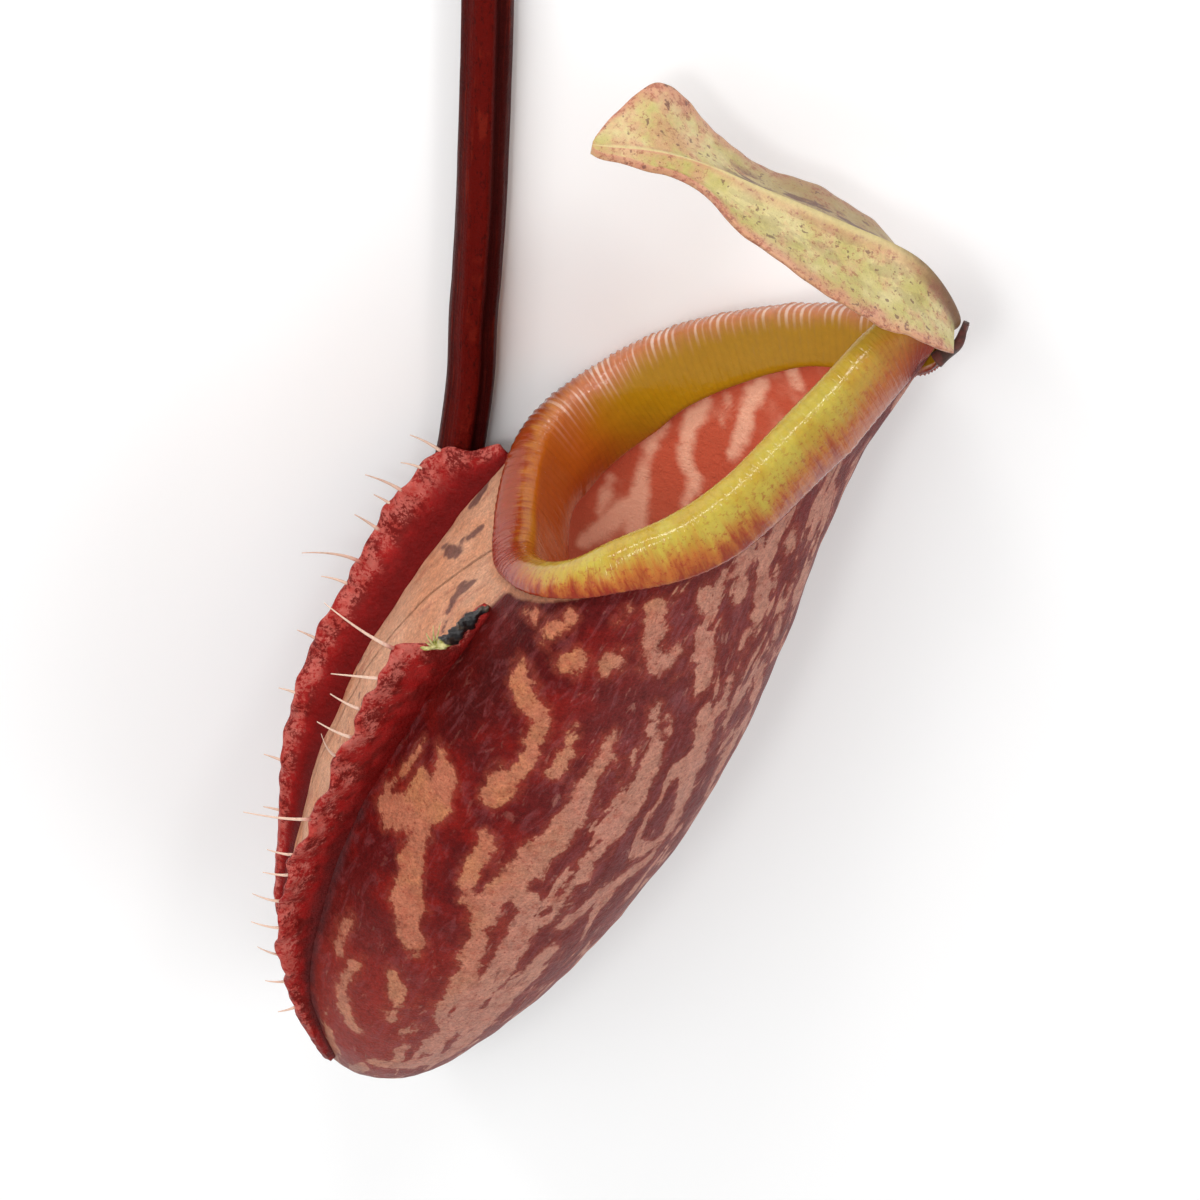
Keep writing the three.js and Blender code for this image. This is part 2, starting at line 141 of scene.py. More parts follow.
# The marks on the cup's near flank, as they lie in a frame of 1200 x 1200 pixels: each is a line of
# places with its half-width there. First the pale streaks, then the dark drops inside them, the
# dashes on the face between the wings and the pale stripes down the inner wall.
STREAKS = [
    [(519, 667, 10), (524, 685, 13), (528, 702, 12), (541, 716, 8), (535, 739, 7), (528, 756, 10),
     (517, 772, 9), (502, 784, 15), (496, 795, 12)],
    [(504, 766, 6), (512, 776, 7)],
    [(573, 729, 5), (570, 748, 6), (561, 761, 7), (553, 773, 4)],
    [(567, 663, 10), (578, 658, 7), (573, 671, 5)],
    [(613, 663, 10), (621, 653, 7), (608, 672, 6)],
    [(657, 608, 9), (652, 630, 9), (650, 650, 10), (657, 666, 10), (672, 659, 8), (684, 646, 5)],
    [(556, 628, 8), (546, 638, 5), (568, 620, 6)],
    [(522, 612, 4), (535, 618, 5)],
    [(620, 619, 6), (629, 614, 4)],
    [(439, 748, 4), (443, 770, 11), (441, 792, 14), (424, 811, 19), (400, 806, 15), (384, 803, 9)],
    [(422, 778, 11), (418, 796, 14)],
    [(386, 788, 5), (399, 775, 4), (412, 757, 4), (424, 738, 3)],
    [(387, 820, 8), (417, 826, 11), (417, 842, 9), (412, 858, 12), (408, 879, 14), (409, 900, 17),
     (408, 918, 11), (411, 936, 12), (417, 951, 6)],
    [(484, 836, 8), (483, 850, 9), (475, 866, 9), (467, 882, 8), (465, 898, 6)],
    [(614, 729, 4), (606, 749, 6), (596, 769, 6), (586, 790, 10), (576, 809, 13), (563, 828, 15),
     (546, 848, 17), (527, 870, 17), (508, 886, 17), (488, 905, 15), (480, 932, 12), (472, 953, 12),
     (470, 972, 13), (460, 990, 14), (446, 1006, 10), (441, 1018, 6)],
    [(520, 894, 12), (528, 912, 12), (517, 940, 16), (506, 962, 16), (486, 984, 18),
     (468, 1008, 17), (450, 1030, 14), (432, 1048, 14)],
    [(548, 952, 12), (526, 978, 16), (500, 1004, 16), (474, 1028, 15), (452, 1052, 12),
     (410, 1066, 12), (376, 1064, 10)],
    [(657, 705, 3), (655, 727, 6), (657, 748, 9), (649, 769, 11), (636, 795, 14), (622, 818, 14),
     (611, 837, 10), (590, 856, 7), (579, 876, 6), (567, 893, 5), (545, 922, 7)],
    [(733, 674, 4), (727, 692, 5), (718, 710, 6), (709, 725, 8), (703, 740, 12), (696, 756, 14),
     (690, 775, 15), (685, 794, 13), (674, 820, 9), (660, 843, 8), (642, 864, 8), (614, 884, 8),
     (590, 902, 9), (566, 926, 8)],
    [(350, 918, 5), (341, 936, 8), (337, 953, 6)],
    [(353, 964, 6), (343, 988, 8), (345, 1010, 7), (356, 1030, 6)],
    [(393, 974, 5), (396, 997, 8), (393, 1016, 6)],
    [(707, 592, 8), (707, 610, 8)],
    [(740, 583, 7), (740, 598, 9)],
    [(764, 568, 4), (764, 585, 8), (761, 602, 10), (757, 620, 6)],
    [(791, 531, 5), (789, 546, 6)],
    [(703, 637, 9), (707, 654, 12), (707, 671, 7), (700, 687, 5), (693, 697, 3)],
    [(764, 658, 6), (760, 676, 6), (755, 696, 7), (748, 718, 7), (741, 737, 6), (731, 758, 7),
     (721, 778, 8), (708, 800, 7), (688, 826, 6)],
    [(796, 574, 4), (785, 600, 6), (777, 628, 6), (768, 655, 5)],
]
DROPS = [
    [(517, 909, 3), (506, 926, 4), (495, 944, 7)],
    [(426, 748, 2), (412, 772, 2), (401, 791, 4)],
    [(549, 910, 4), (541, 916, 4)],
    [(560, 950, 3), (548, 962, 3)],
    [(372, 836, 3), (380, 842, 3)],
]
DASHES = [
    [(488, 480, 7), (481, 494, 8), (474, 503, 7)],
    [(482, 527, 4), (472, 535, 6), (461, 541, 4)],
    [(462, 584, 5), (455, 598, 6), (448, 612, 4)],
    [(447, 622, 3), (441, 630, 3)],
    [(359, 695, 3), (362, 702, 4)],
]
STRIPES = [
    [(665, 424, 7), (648, 458, 9), (641, 491, 10), (634, 530, 11)],
    [(708, 400, 7), (691, 424, 9), (686, 458, 10), (696, 482, 8), (684, 505, 7)],
    [(763, 381, 8), (749, 405, 8), (742, 429, 8), (731, 455, 7)],
    [(792, 369, 6), (799, 388, 6)],
    [(583, 541, 10), (606, 524, 10), (628, 508, 10)],
    [(727, 395, 4), (722, 425, 4)],
    [(610, 478, 4), (600, 512, 5)],
]


@dataclass
class Blade:
    """One of the two blades up the cup's front: from its foot to its top, the turn of its root in
    degrees and its height, then how far it leans outwards, where near its top its height starts and
    stops falling and to what share, and its fringe."""

    name: str
    node: str
    side: int
    turn: list
    height: list
    splay: float
    fall: tuple
    hairs: list

    def reach(self, t):
        """Its height at a share t of the way up it."""
        start, stop, share = self.fall
        return along(self.height, t) * (1 + (share - 1) * ease(start, stop, np.asarray(t, float)))

    def frame(self, t):
        """Its root at a share t of the way up it, and the ways across it, up it and to its edge."""
        rise = WING_RISE[0] + (WING_RISE[1] - WING_RISE[0]) * t
        turn = self.side * np.radians(along(self.turn, t))
        around, out, up = cup_frame(rise, turn)
        across = around * self.side
        return cup_point(rise, turn), across, up, unit(out + across * self.splay)


NEAR_WING = Blade(
    "wing_near", "wing_upper", 1, [38, 34.4, 30.6, 29.5, 30.6, 31.5, 29, 25],
    [0.6, 1.1, 2, 4.2, 5.2, 5.2, 6.1, 6.2, 5.3], 0.27, (0.888, 0.925, 0.15), HAIRS_NEAR,
)
FAR_WING = Blade(
    "wing_far", "wing_lower", -1, [18, 14, 10, 7, 9.4, 16.3, 25.5, 33.8],
    [0.6, 1, 1.2, 1.6, 2.8, 4.1, 4.5, 5.3, 4.4], 0.14, (0.935, 1.01, 0.28), HAIRS_FAR,
)


# ---- Curves and grids --------------------------------------------------------------------------


def through(points, t):
    """A smooth curve that passes its points at equal steps of t, which runs from 0 to 1."""
    p = np.array(points, float)
    p = p[:, None] if p.ndim == 1 else p
    p = np.vstack([2 * p[0] - p[1], p, 2 * p[-1] - p[-2]])
    x = np.clip(np.asarray(t, float), 0, 1) * (len(p) - 3)
    i = np.minimum(x.astype(int), len(p) - 4)
    w = (x - i)[..., None]
    a, b, c, d = p[i], p[i + 1], p[i + 2], p[i + 3]
    leaving, arriving = (c - a) / 2, (d - b) / 2
    bend = 3 * (c - b) - 2 * leaving - arriving
    return b + leaving * w + bend * w**2 + (leaving + arriving - 2 * (c - b)) * w**3


def along(values, t):
    """A number that changes smoothly through the given values."""
    return through(values, t)[..., 0]


def unit(v):
    return v / np.maximum(np.linalg.norm(v, axis=-1, keepdims=True), 1e-9)


def tangent(points, t):
    step = 1e-4
    t = np.asarray(t, float)
    return unit(through(points, np.minimum(t + step, 1)) - through(points, np.maximum(t - step, 0)))


def ease(low, high, x):
    """0 at low, 1 at high and smooth between them."""
    s = np.clip((x - low) / (high - low), 0, 1)
    return s * s * (3 - 2 * s)


def circle(sides):
    """Equal angles once round."""
    return np.linspace(0, 2 * math.pi, sides, endpoint=False)


def apart(angle, other):
    """How far two angles are apart, up to half a turn."""
    return np.abs((angle - other + math.pi) % (2 * math.pi) - math.pi)


def wander(points, size, seed, octaves=3):
    """Smooth noise between about -1 and 1 at each point, with features of the given size in mm."""
    flat = points.reshape(-1, points.shape[-1]) / size + seed * 17.3
    values = [noise.fractal(Vector(p), 1.0, 2.0, octaves) for p in flat]
    return np.array(values).reshape(points.shape[:-1])


# ---- The cup's surface -------------------------------------------------------------------------

MOUTH_LONG = unit(np.subtract(CUP_BACK[-1], CUP_FRONT[-1]))
MOUTH_UP = np.array([-MOUTH_LONG[1], MOUTH_LONG[0], 0])


def cup_point(rise, turn):
    rise, turn = np.broadcast_arrays(np.asarray(rise, float), np.asarray(turn, float))
    girth = through(CUP_GIRTH, rise)
    back = ((1 - np.cos(turn)) / 2)[..., None]
    level = through(CUP_FRONT, rise) * (1 - back) + through(CUP_BACK, rise) * back
    side = girth[..., 0] * np.sin(turn) * (1 + girth[..., 1] * np.cos(turn))
    lift = np.clip((rise - ARCH_START) / (1 - ARCH_START), 0, 1) ** 2
    arch = lift * along(MOUTH_ARCH, (turn + math.pi) % (2 * math.pi) / (2 * math.pi))
    return np.concatenate([level, side[..., None]], axis=-1) + arch[..., None] * MOUTH_UP


def cup_frame(rise, turn):
    """The ways round the cup, out of its wall and up its wall."""
    step = 1e-3
    rise, turn = np.broadcast_arrays(np.asarray(rise, float), np.asarray(turn, float))
    around = unit(cup_point(rise, turn + step) - cup_point(rise, turn - step))
    above, below = np.minimum(rise + step, 1), np.maximum(rise - step, 1e-4)
    climb = cup_point(above, turn) - cup_point(below, turn)
    out = unit(np.cross(around, climb))
    return around, out, np.cross(out, around)


# The cup's foot in the frame, found from the cup's own corner.
CUP_LOW = np.array(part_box("cup")[0]) / MM
CUP_LEFT = through(CUP_FRONT, np.linspace(0, 1, 999))[:, 0].min()
FOOT = np.array([CUP_LOW[0] - CUP_LEFT, CUP_LOW[1], FOOT_HEIGHT])


def in_view(points):
    """Where points land in the frame, in pixels."""
    reach = (points - AIM) @ TO_CAMERA
    scale = FRAME_PIXELS * DISTANCE / FIELD / (DISTANCE - reach)
    right, up = (points - AIM)[..., 0], (points - AIM) @ IMAGE_UP
    return np.stack([FRAME_PIXELS / 2 + scale * right, FRAME_PIXELS / 2 - scale * up], -1)


def beads(lines, inside):
    """The marks as beads on the cup's surface, each a place and a half-width in mm, and the same
    marks turned over to the far flank, where they are moved so that the two flanks differ."""
    side = -1 if inside else 1
    turns = np.radians(np.linspace(-40, 178, 300)) * side
    rise, turn = np.meshgrid(np.linspace(0.02, 1, 240), turns, indexing="ij")
    out = cup_frame(rise, turn)[1]
    facing = side * out @ TO_CAMERA > 0.02
    rise, turn = rise[facing], turn[facing]
    pixels = in_view(cup_point(rise, turn) - out[facing] * (WALL if inside else 0))
    spacing = 3
    near, far, widths = [], [], []
    for line in lines:
        length = np.hypot(*np.diff(np.array(line)[:, :2], axis=0).T).sum()
        for x, y, half_width in through(line, np.linspace(0, 1, max(2, int(length / spacing)))):
            k = np.argmin(((pixels - (x, y)) ** 2).sum(axis=1))
            near.append(cup_point(rise[k], turn[k]))
            far.append(cup_point(np.clip(1.03 * rise[k] - 0.035, 0.02, 1), -0.93 * turn[k] - 0.05))
            widths.append(half_width * FIELD / FRAME_PIXELS)
    return np.array(near + far), np.array(widths * 2)


def mark_depth(points, lines, inside=False):
    """How deep inside a mark each point lies, in mm, and below 0 how far outside."""
    places, widths = beads(lines, inside)
    batch, farthest = 4000, -9.0
    flat = points.reshape(-1, 3)
    depth = []
    for start in range(0, len(flat), batch):
        away = np.linalg.norm(flat[start:start + batch, None] - places, axis=2)
        depth.append((widths - away).max(axis=1))
    return np.maximum(np.concatenate(depth), farthest).reshape(points.shape[:-1])


# ---- Meshes ------------------------------------------------------------------------------------


def tube_faces(rows, columns):
    """Faces over rows of points that each run all the way round, with a fan at both ends."""
    r, c = np.meshgrid(np.arange(rows - 1) * columns, np.arange(columns), indexing="ij")
    d = (c + 1) % columns
    quads = np.stack([r + c, r + d, r + columns + d, r + columns + c], -1)
    faces = quads.reshape(-1, 4).tolist()
    start, end, last = rows * columns, rows * columns + 1, (rows - 1) * columns
    for k in range(columns):
        faces.append([start, (k + 1) % columns, k])
        faces.append([end, last + k, last + (k + 1) % columns])
    return faces


class Solid:
    """Gathers closed tubes, with a few numbers for each corner, into one mesh."""

    def __init__(self):
        self.points, self.faces, self.values, self.count = [], [], {}, 0

    def tube(self, rows, start=None, end=None, **values):
        """Adds a tube over rows of points. Each value is an array over the same rows."""
        height, width = rows.shape[:2]
        start = rows[0].mean(axis=0) if start is None else start
        end = rows[-1].mean(axis=0) if end is None else end
        self.points.append(np.vstack([rows.reshape(-1, 3), start, end]))
        self.faces += [[i + self.count for i in face] for face in tube_faces(height, width)]
        for name, value in values.items():
            value = np.broadcast_to(np.asarray(value, float), (height, width)).reshape(-1)
            ends = [value[:width].mean(), value[-width:].mean()]
            self.values.setdefault(name, []).append(np.concatenate([value, ends]))
        self.count += height * width + 2
        return self

    def thread(self, path, radius, first, second, sides=5, **values):
        """Adds a thin tube round a path, with its circles spanned by two given ways."""
        angle = circle(sides)
        ring = np.cos(angle)[:, None] * first + np.sin(angle)[:, None] * second
        return self.tube(path[:, None] + radius[:, None, None] * ring, **values)

    def build(self, name, material, slot, *nodes):
        """Makes the object, and lets it stand for the frame's nodes."""
        mesh = bpy.data.meshes.new(name)
        mesh.from_pydata(((np.vstack(self.points) + FOOT) * MM).tolist(), [], self.faces)
        for key, parts in self.values.items():
            layer = mesh.attributes.new(key, "FLOAT", "POINT")
            layer.data.foreach_set("value", np.concatenate(parts).astype(np.float32))
        mesh.shade_smooth()
        mesh.materials.append(material)
        piece = bpy.data.objects.new(name, mesh)
        bpy.context.scene.collection.objects.link(piece)
        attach(piece, "root")
        if nodes:
            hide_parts(*nodes)
        return piece


def stem_rows(path, radius, stations, sides, first, shape=None):
    """Rows of points round a curve. The shape changes the radius at a share along and an angle."""
    t = np.linspace(0, 1, stations + 1)
    ahead = tangent(path, t)
    across = unit(np.cross(ahead, first))
    front = np.cross(across, ahead)
    angle = circle(sides)
    size = along(radius, t)[:, None] * np.ones(sides)
    if shape is not None:
        size = size + shape(t[:, None], angle[None])
    rows = (
        through(path, t)[:, None]
        + (size * np.cos(angle))[..., None] * front[:, None]
        + (size * np.sin(angle))[..., None] * across[:, None]
    )
    return rows, t, angle


# ---- Shaders -----------------------------------------------------------------------------------


class Field:
    """A shader socket that adds its own Math nodes when it is used in a sum."""

    def __init__(self, look, socket):
        self.look, self.socket = look, socket

    def _math(self, operation, *values):
        return self.look.node("ShaderNodeMath", {"operation": operation}, dict(enumerate(values)))

    def __add__(self, other):
        return self._math("ADD", self, other)

    def __sub__(self, other):
        return self._math("SUBTRACT", self, other)

    def __rsub__(self, other):
        return self._math("SUBTRACT", other, self)

    def __mul__(self, other):
        return self._math("MULTIPLY", self, other)

    __radd__ = __add__
    __rmul__ = __mul__

    def larger(self, other):
        return self._math("MAXIMUM", self, other)

    def smaller(self, other):
        return self._math("MINIMUM", self, other)

    def step(self, low, high):
        """0 below low, 1 above high and smooth between them."""
        settings = {"interpolation_type": "SMOOTHSTEP"}
        return self.look.node("ShaderNodeMapRange", settings, {0: self, 1: low, 2: high})


class Look:
    """A material whose nodes are made by expressions."""

    def __init__(self, name, **constants):
        self.material = bpy.data.materials.new(name)
        self.material.use_nodes = True
        self.tree = self.material.node_tree
        self.surface = self.tree.nodes["Principled BSDF"]
        self.here = self.node("ShaderNodeTexCoord", out="Object")
        for socket, value in constants.items():
            socket = socket.replace("_", " ").title().replace("Ior", "IOR")
            self.surface.inputs[socket].default_value = value

    def node(self, kind, settings=None, sockets=None, out=0):
        made = self.tree.nodes.new(kind)
        for name, value in (settings or {}).items():
            setattr(made, name, value)
        for name, value in (sockets or {}).items():
            self.feed(made.inputs[name], value)
        return Field(self, made.outputs[out])

    def feed(self, socket, value):
        """Links a field to a socket, or sets a constant on it."""
        if isinstance(value, Field):
            self.tree.links.new(value.socket, socket)
        else:
            socket.default_value = (*value, 1.0)[:4] if socket.type == "RGBA" else value

    def values(self, *names):
        """The numbers that the mesh holds for each of its corners."""
        kind = "ShaderNodeAttribute"
        return [self.node(kind, {"attribute_name": name}, out="Fac") for name in names]

    def place(self, x, y, z=0.0):
        return self.node("ShaderNodeCombineXYZ", None, {0: x, 1: y, 2: z})

    def stretched(self, place, scale):
        return self.node("ShaderNodeVectorMath", {"operation": "MULTIPLY"}, {0: place, 1: scale})

    def cloud(self, scale, detail=3.0, roughness=0.55, distortion=0.0, over=None):
        """Noise round 0, between about -0.5 and 0.5, over the object or over other places."""
        sockets = {
            "Vector": over or self.here, "Scale": scale, "Detail": detail, "Roughness": roughness,
            "Distortion": distortion,
        }
        return self.node("ShaderNodeTexNoise", None, sockets) - 0.5

    def mix(self, factor, first, second):
        """The first colour where the factor is 0, the second where it is 1."""
        settings = {"data_type": "RGBA"}
        return self.node("ShaderNodeMix", settings, {0: factor, 6: first, 7: second}, out=2)

    def layers(self, colour, *layers):
        """The colour with others laid over it in turn, each as far as its mask says."""
        for mask, over in layers:
            colour = self.mix(mask, colour, over)
        return colour

    def dim(self, colour, factor):
        """The colour darkened or lightened by a factor."""
        settings = {"data_type": "RGBA", "blend_type": "MULTIPLY"}
        grey = self.node("ShaderNodeCombineColor", None, {0: factor, 1: factor, 2: factor})
        return self.node("ShaderNodeMix", settings, {0: 1.0, 6: colour, 7: grey}, out=2)

    def finish(self, colour, roughness, height=None, relief=0.1, coat=None, painted_glow=None):
        """Joins everything to the surface. The height is in units of the relief, in mm."""
        self.feed(self.surface.inputs["Base Color"], colour)
        self.feed(self.surface.inputs["Roughness"], roughness)
        if coat is not None:
            self.feed(self.surface.inputs["Coat Weight"], coat)
        if painted_glow is not None:
            self.feed(self.surface.inputs["Emission Color"], painted_glow)
        if height is not None:
            sockets = {"Strength": 1.0, "Distance": relief * MM, "Height": height}
            self.feed(self.surface.inputs["Normal"], self.node("ShaderNodeBump", None, sockets))
        return self.material


def cup_material(cup):
    """Outside: pale streaks on maroon, with specks, veins, short pale fuzz and painted shade and
    sheen.
    Inside: coral with paler streaks, which glows as painted light through the wall."""
    look = Look(
        "pitcher_skin", subsurface_weight=0.08, subsurface_scale=MM,
        subsurface_radius=(1.0, 0.3, 0.2), specular_ior_level=0.1, coat_roughness=0.3,
        emission_strength=0.27,
    )
    cloud, mix = look.cloud, look.mix
    rise, flank, inside, front = look.values("rise", "flank", "inside", "front")
    streak, drop, dash, stripe = look.values("streak", "drop", "dash", "stripe")
    band, crease, around, out = look.values("band", "crease", "round", "out")
    fibres = look.stretched(look.place(around, rise, out), (1, 0.3, 1))
    uneven = cloud(330, 2, 0.5) * 2.2 + cloud(1100, 4, 0.7) * 1.8
    grain = cloud(1.1, 4, 0.7, 0.8, fibres)
    low = rise.step(34, 8)
    back = (flank + cloud(120, 2) * 0.15).step(0.36, 0.62)
    # streaks that only the back and the foot have, in between the others
    loose = cloud(0.36, 3, 0.6, 0.7, fibres) * 9 - 0.4 - (1 - back.larger(low)) * 3
    depth = streak.larger(loose) + uneven
    pale = depth.step(-0.12, 0.22)
    drops = (drop + uneven * 0.6).step(-0.1, 0.12)
    # the skin between the streaks
    deep = look.layers(
        mix(cloud(230).step(-0.1, 0.12), cup.maroon, cup.crimson),
        # darkest just below the rim's front: painted shade under the rim
        (rise.step(42, 52) * flank.step(0.42, 0.25) * 0.7, cup.shade_below_rim),
        # the foot lighter, the back dustier and its purple fibres stronger: partly the skin's own
        # colour, partly painted sheen of the fuzz
        (low * 0.9, cup.brick),
        (back * 0.8, cup.plum_and_sheen),
        (grain.step(0.0, 0.14) * (0.28 + back * 0.3), cup.dusk),
        (depth.step(-0.9, 0.0) * 0.35, cup.rust),
    )
    # the streaks, with their specks
    specks = cloud(3200, 3, 0.75).step(0.06, 0.17)
    light = look.layers(
        mix(cloud(200).step(-0.1, 0.12), cup.salmon, cup.tan),
        # dustier on the back and foot: partly their own colour, partly painted sheen of the fuzz
        ((back + low * 0.6).smaller(1) * 0.8, cup.dusty_and_sheen),
        (cloud(700, 4, 0.65).step(-0.02, 0.16) * 0.4, cup.rust),
        (specks * 0.55, cup.crimson),
    )
    flecks = cloud(1.6, 3, 0.6, 0.5, fibres).step(0.12, 0.2)
    flecks = flecks * (0.2 + back * 0.6 + low * 0.4).smaller(1)
    # the face between the wings: pale, with grey dashes
    lines = cloud(0.9, 4, 0.65, 0.4, fibres).step(0.02, 0.2) * 0.45
    face = look.layers(
        mix(cloud(150, 2).step(-0.1, 0.15), cup.bisque, cup.apricot),
        ((specks * 0.35 + lines).smaller(1), cup.rust),
        ((dash + uneven * 0.35).step(-0.2, 0.15) * 0.8, cup.slate_and_shade),
    )
    # over both: a pale band under the rim with a dark line above it, painted shade under the rim's
    # margin; the crease along the near wing's root, darkened as painted shade; the grey foot; and
    # the short pale fuzz, lengthwise, stronger on the back and foot as painted sheen
    band = band + cloud(700) * 0.8
    crease = crease * (0.6 + cloud(500))
    foot = (rise + cloud(180, 2) * 8 + flank * 9).step(11, 2)
    fuzz = cloud(5.5, 5, 0.8, 1.6, look.stretched(fibres, (1, 0.45, 1))).step(0.05, 0.22)
    skin = look.layers(
        mix(pale * (1 - drops), deep, light),
        # flecks, stronger on the back and foot, in colours that are partly painted sheen
        (flecks * 0.55, mix(pale, cup.dusty_and_sheen, cup.plum_and_sheen)),
        (front, face),
        (band.step(1.3, 0.8) * 0.7, cup.apricot),
        # a dark line just below the rim's margin: painted shade under the rim
        (band.step(0.4, 0.0) * 0.8, cup.slate_and_shade),
        # the crease darkened: painted shade
        (crease.step(0.15, 0.75) * 0.7, cup.slate_and_shade),
        (foot * 0.55, cup.ash),
        # the fuzz's pale colour, stronger on the back and foot as painted sheen
        (fuzz * (0.02 + back * 0.18 + low * 0.06), cup.fuzz_and_sheen),
    )
    pitted = cloud(1300, 4, 0.75) * 1.1 + cloud(4500, 3, 0.8) * 1.3
    skin = look.dim(skin, 1 + pitted + grain * 0.6)
    # inside: coral with paler streaks, which also glows as painted light through the wall
    coral = look.layers(
        mix(rise.step(30, 58), cup.salmon, cup.coral),
        (cloud(220).step(0.0, 0.25) * 0.35, cup.blush),
        ((stripe + cloud(260, 4, 0.6) * 2.4).step(-0.5, 0.6) * 0.95, cup.blush),
    )
    # the inner wall gives off its own colour: painted light through the wall
    painted_glow = mix(inside, (0, 0, 0), coral)
    roughness = 0.45 + cloud(1500) * 0.25 + inside * 0.15
    height = cloud(2200, 4, 0.75) + grain * 0.9 + pale * 0.15
    return look.finish(mix(inside, skin, coral), roughness, height, 0.24, 0.02 + pale * 0.02, painted_glow)


def rim_material(rim):
    """Wet and glassy: yellow-green over the crest, red streaks along the ribs to the margin."""
    look = Look(
        "rolled_rim", subsurface_weight=0.12, subsurface_scale=MM,
        subsurface_radius=(1.0, 0.5, 0.1), coat_roughness=0.08, coat_weight=0.2,
        specular_ior_level=0.4,
    )
    cloud, mix = look.cloud, look.mix
    across, back, far = look.values("across", "back", "far")
    fold, groove, rib = look.values("fold", "groove", "rib")
    ribs = look.place(rib, across * 3.0, far * 9)
    ragged = cloud(0.8, 4, 0.65, over=ribs)
    broad = cloud(160, 2)
    crest = mix(cloud(300, 2).step(-0.15, 0.15), rim.crest, rim.lime)
    inner = mix((back + broad * 0.2).step(0.4, 0.12), rim.ochre, rim.amber)
    # on the near side orange over the outer half, and red streaks to the margin
    reach = across - fold * 0.06 + ragged * 0.3
    outer = (reach + broad * 0.15).step(0.42, 0.26)
    red = (reach + ragged * 0.45).step(0.32, 0.1)
    # on the far side a pink crest, with painted highlights where its wet ribs catch the light
    pink = (across + ragged * 0.1 + broad * 0.1).step(0.82, 0.66) * far * back.step(0.14, 0.3)
    wet = (1 - groove + cloud(0.45, 2, over=ribs) * 1.6).step(0.8, 1.1)
    # round the fold an orange-brown inner flange and a red outer half
    hem = (across + ragged * 0.35).step(0.56, 0.4) * far.larger(fold) * back.step(0.5, 0.12)
    speck = cloud(2400, 4, 0.75).step(0.03, 0.13) * across.step(0.6, 0.25)
    neck = back + ragged * 0.2 - across * 0.5
    flesh = look.layers(
        mix((across + far * 0.16).step(0.6, 0.78), crest, inner),
        (fold.larger(far * back.step(0.34, 0.14)) * 0.8, rim.amber),
        (outer * (1 - far) * 0.9, rim.orange),
        (red * (1 - far) * 0.9, rim.red),
        (pink * 0.8, rim.pink),
        # pale painted highlights on the far side's ribs
        (pink * wet * 0.6, rim.painted_glint),
        (hem * 0.8, rim.red),
        (speck * 0.75, rim.brick),
        (neck.step(0.42, 0.66) * 0.7, rim.orange),
        (neck.step(0.6, 0.76) * 0.85, rim.red),
        (across.step(0.085, 0.06) * 0.8, rim.lilac),
        (across.step(0.04, 0.02) * 0.8, rim.shade),
    )
    # darker in the grooves: painted shade; lighter and darker at random as well
    flesh = look.dim(flesh, 1 - groove * 0.06 + cloud(1500, 3, 0.7) * 0.3)
    roughness = 0.16 + cloud(1200, 2) * 0.1 + groove * 0.1
    height = cloud(1.6, 2, over=ribs) * 0.8 + cloud(1100, 2) * 0.8 - groove * 0.35
    return look.finish(flesh, roughness, height, 0.09)


def wing_material(wing):
    """Rosy under a net of crimson specks, deep crimson towards the root, with painted shade in the
    crease at the root and on the far blade's inner face.
    """
    look = Look(
        "fringed_wing", subsurface_weight=0.1, subsurface_scale=MM,
        subsurface_radius=(1.0, 0.3, 0.25), specular_ior_level=0.1, coat_roughness=0.3,
    )
    cloud, mix = look.cloud, look.mix
    reach, far, hair, length = look.values("reach", "far", "hair", "length")
    grain = look.place(length * 0.9, reach * 1.6, far * 5)
    net = cloud(3000, 3, 0.75, 0.3) + cloud(1.8, 4, 0.7, 0.5, grain) * 0.8
    broad = cloud(260, 2)
    low = reach.step(0.85, 0.15)
    cover = (net + broad * 0.5 + low * 0.3 + 0.01).step(-0.08, 0.12)
    # the far blade's inner face is deep red below its paler lip: painted shade
    lip = (reach + broad * 0.4 + net * 0.25).step(0.4, 0.7)
    # the roots sink into a crease, darkened as painted shade, and the blade's lower end is darker
    # too
    root = (reach + cloud(600) * 0.3).step(0.4, 0.05)
    skin = look.layers(
        mix(cloud(700).step(-0.1, 0.15), wing.pink, wing.rose),
        (cover * 0.92, mix(cloud(500, 2).step(-0.1, 0.1), wing.crimson, wing.deep)),
        (far * (1 - lip) * 0.85, mix(low, wing.crimson, wing.deep)),
        (root * 0.85, mix(length.step(16, 32), wing.dusk, wing.deep)),
        (length.step(9, 1) * 0.5, wing.dusk),
    )
    skin = mix(hair, look.dim(skin, 1 + cloud(1500, 4, 0.75) * 0.8), wing.cream)
    height = cloud(1500, 4, 0.65) + net * 0.5
    return look.finish(skin, 0.5 + cloud(900, 2) * 0.2, height, 0.22, coat=0.01)


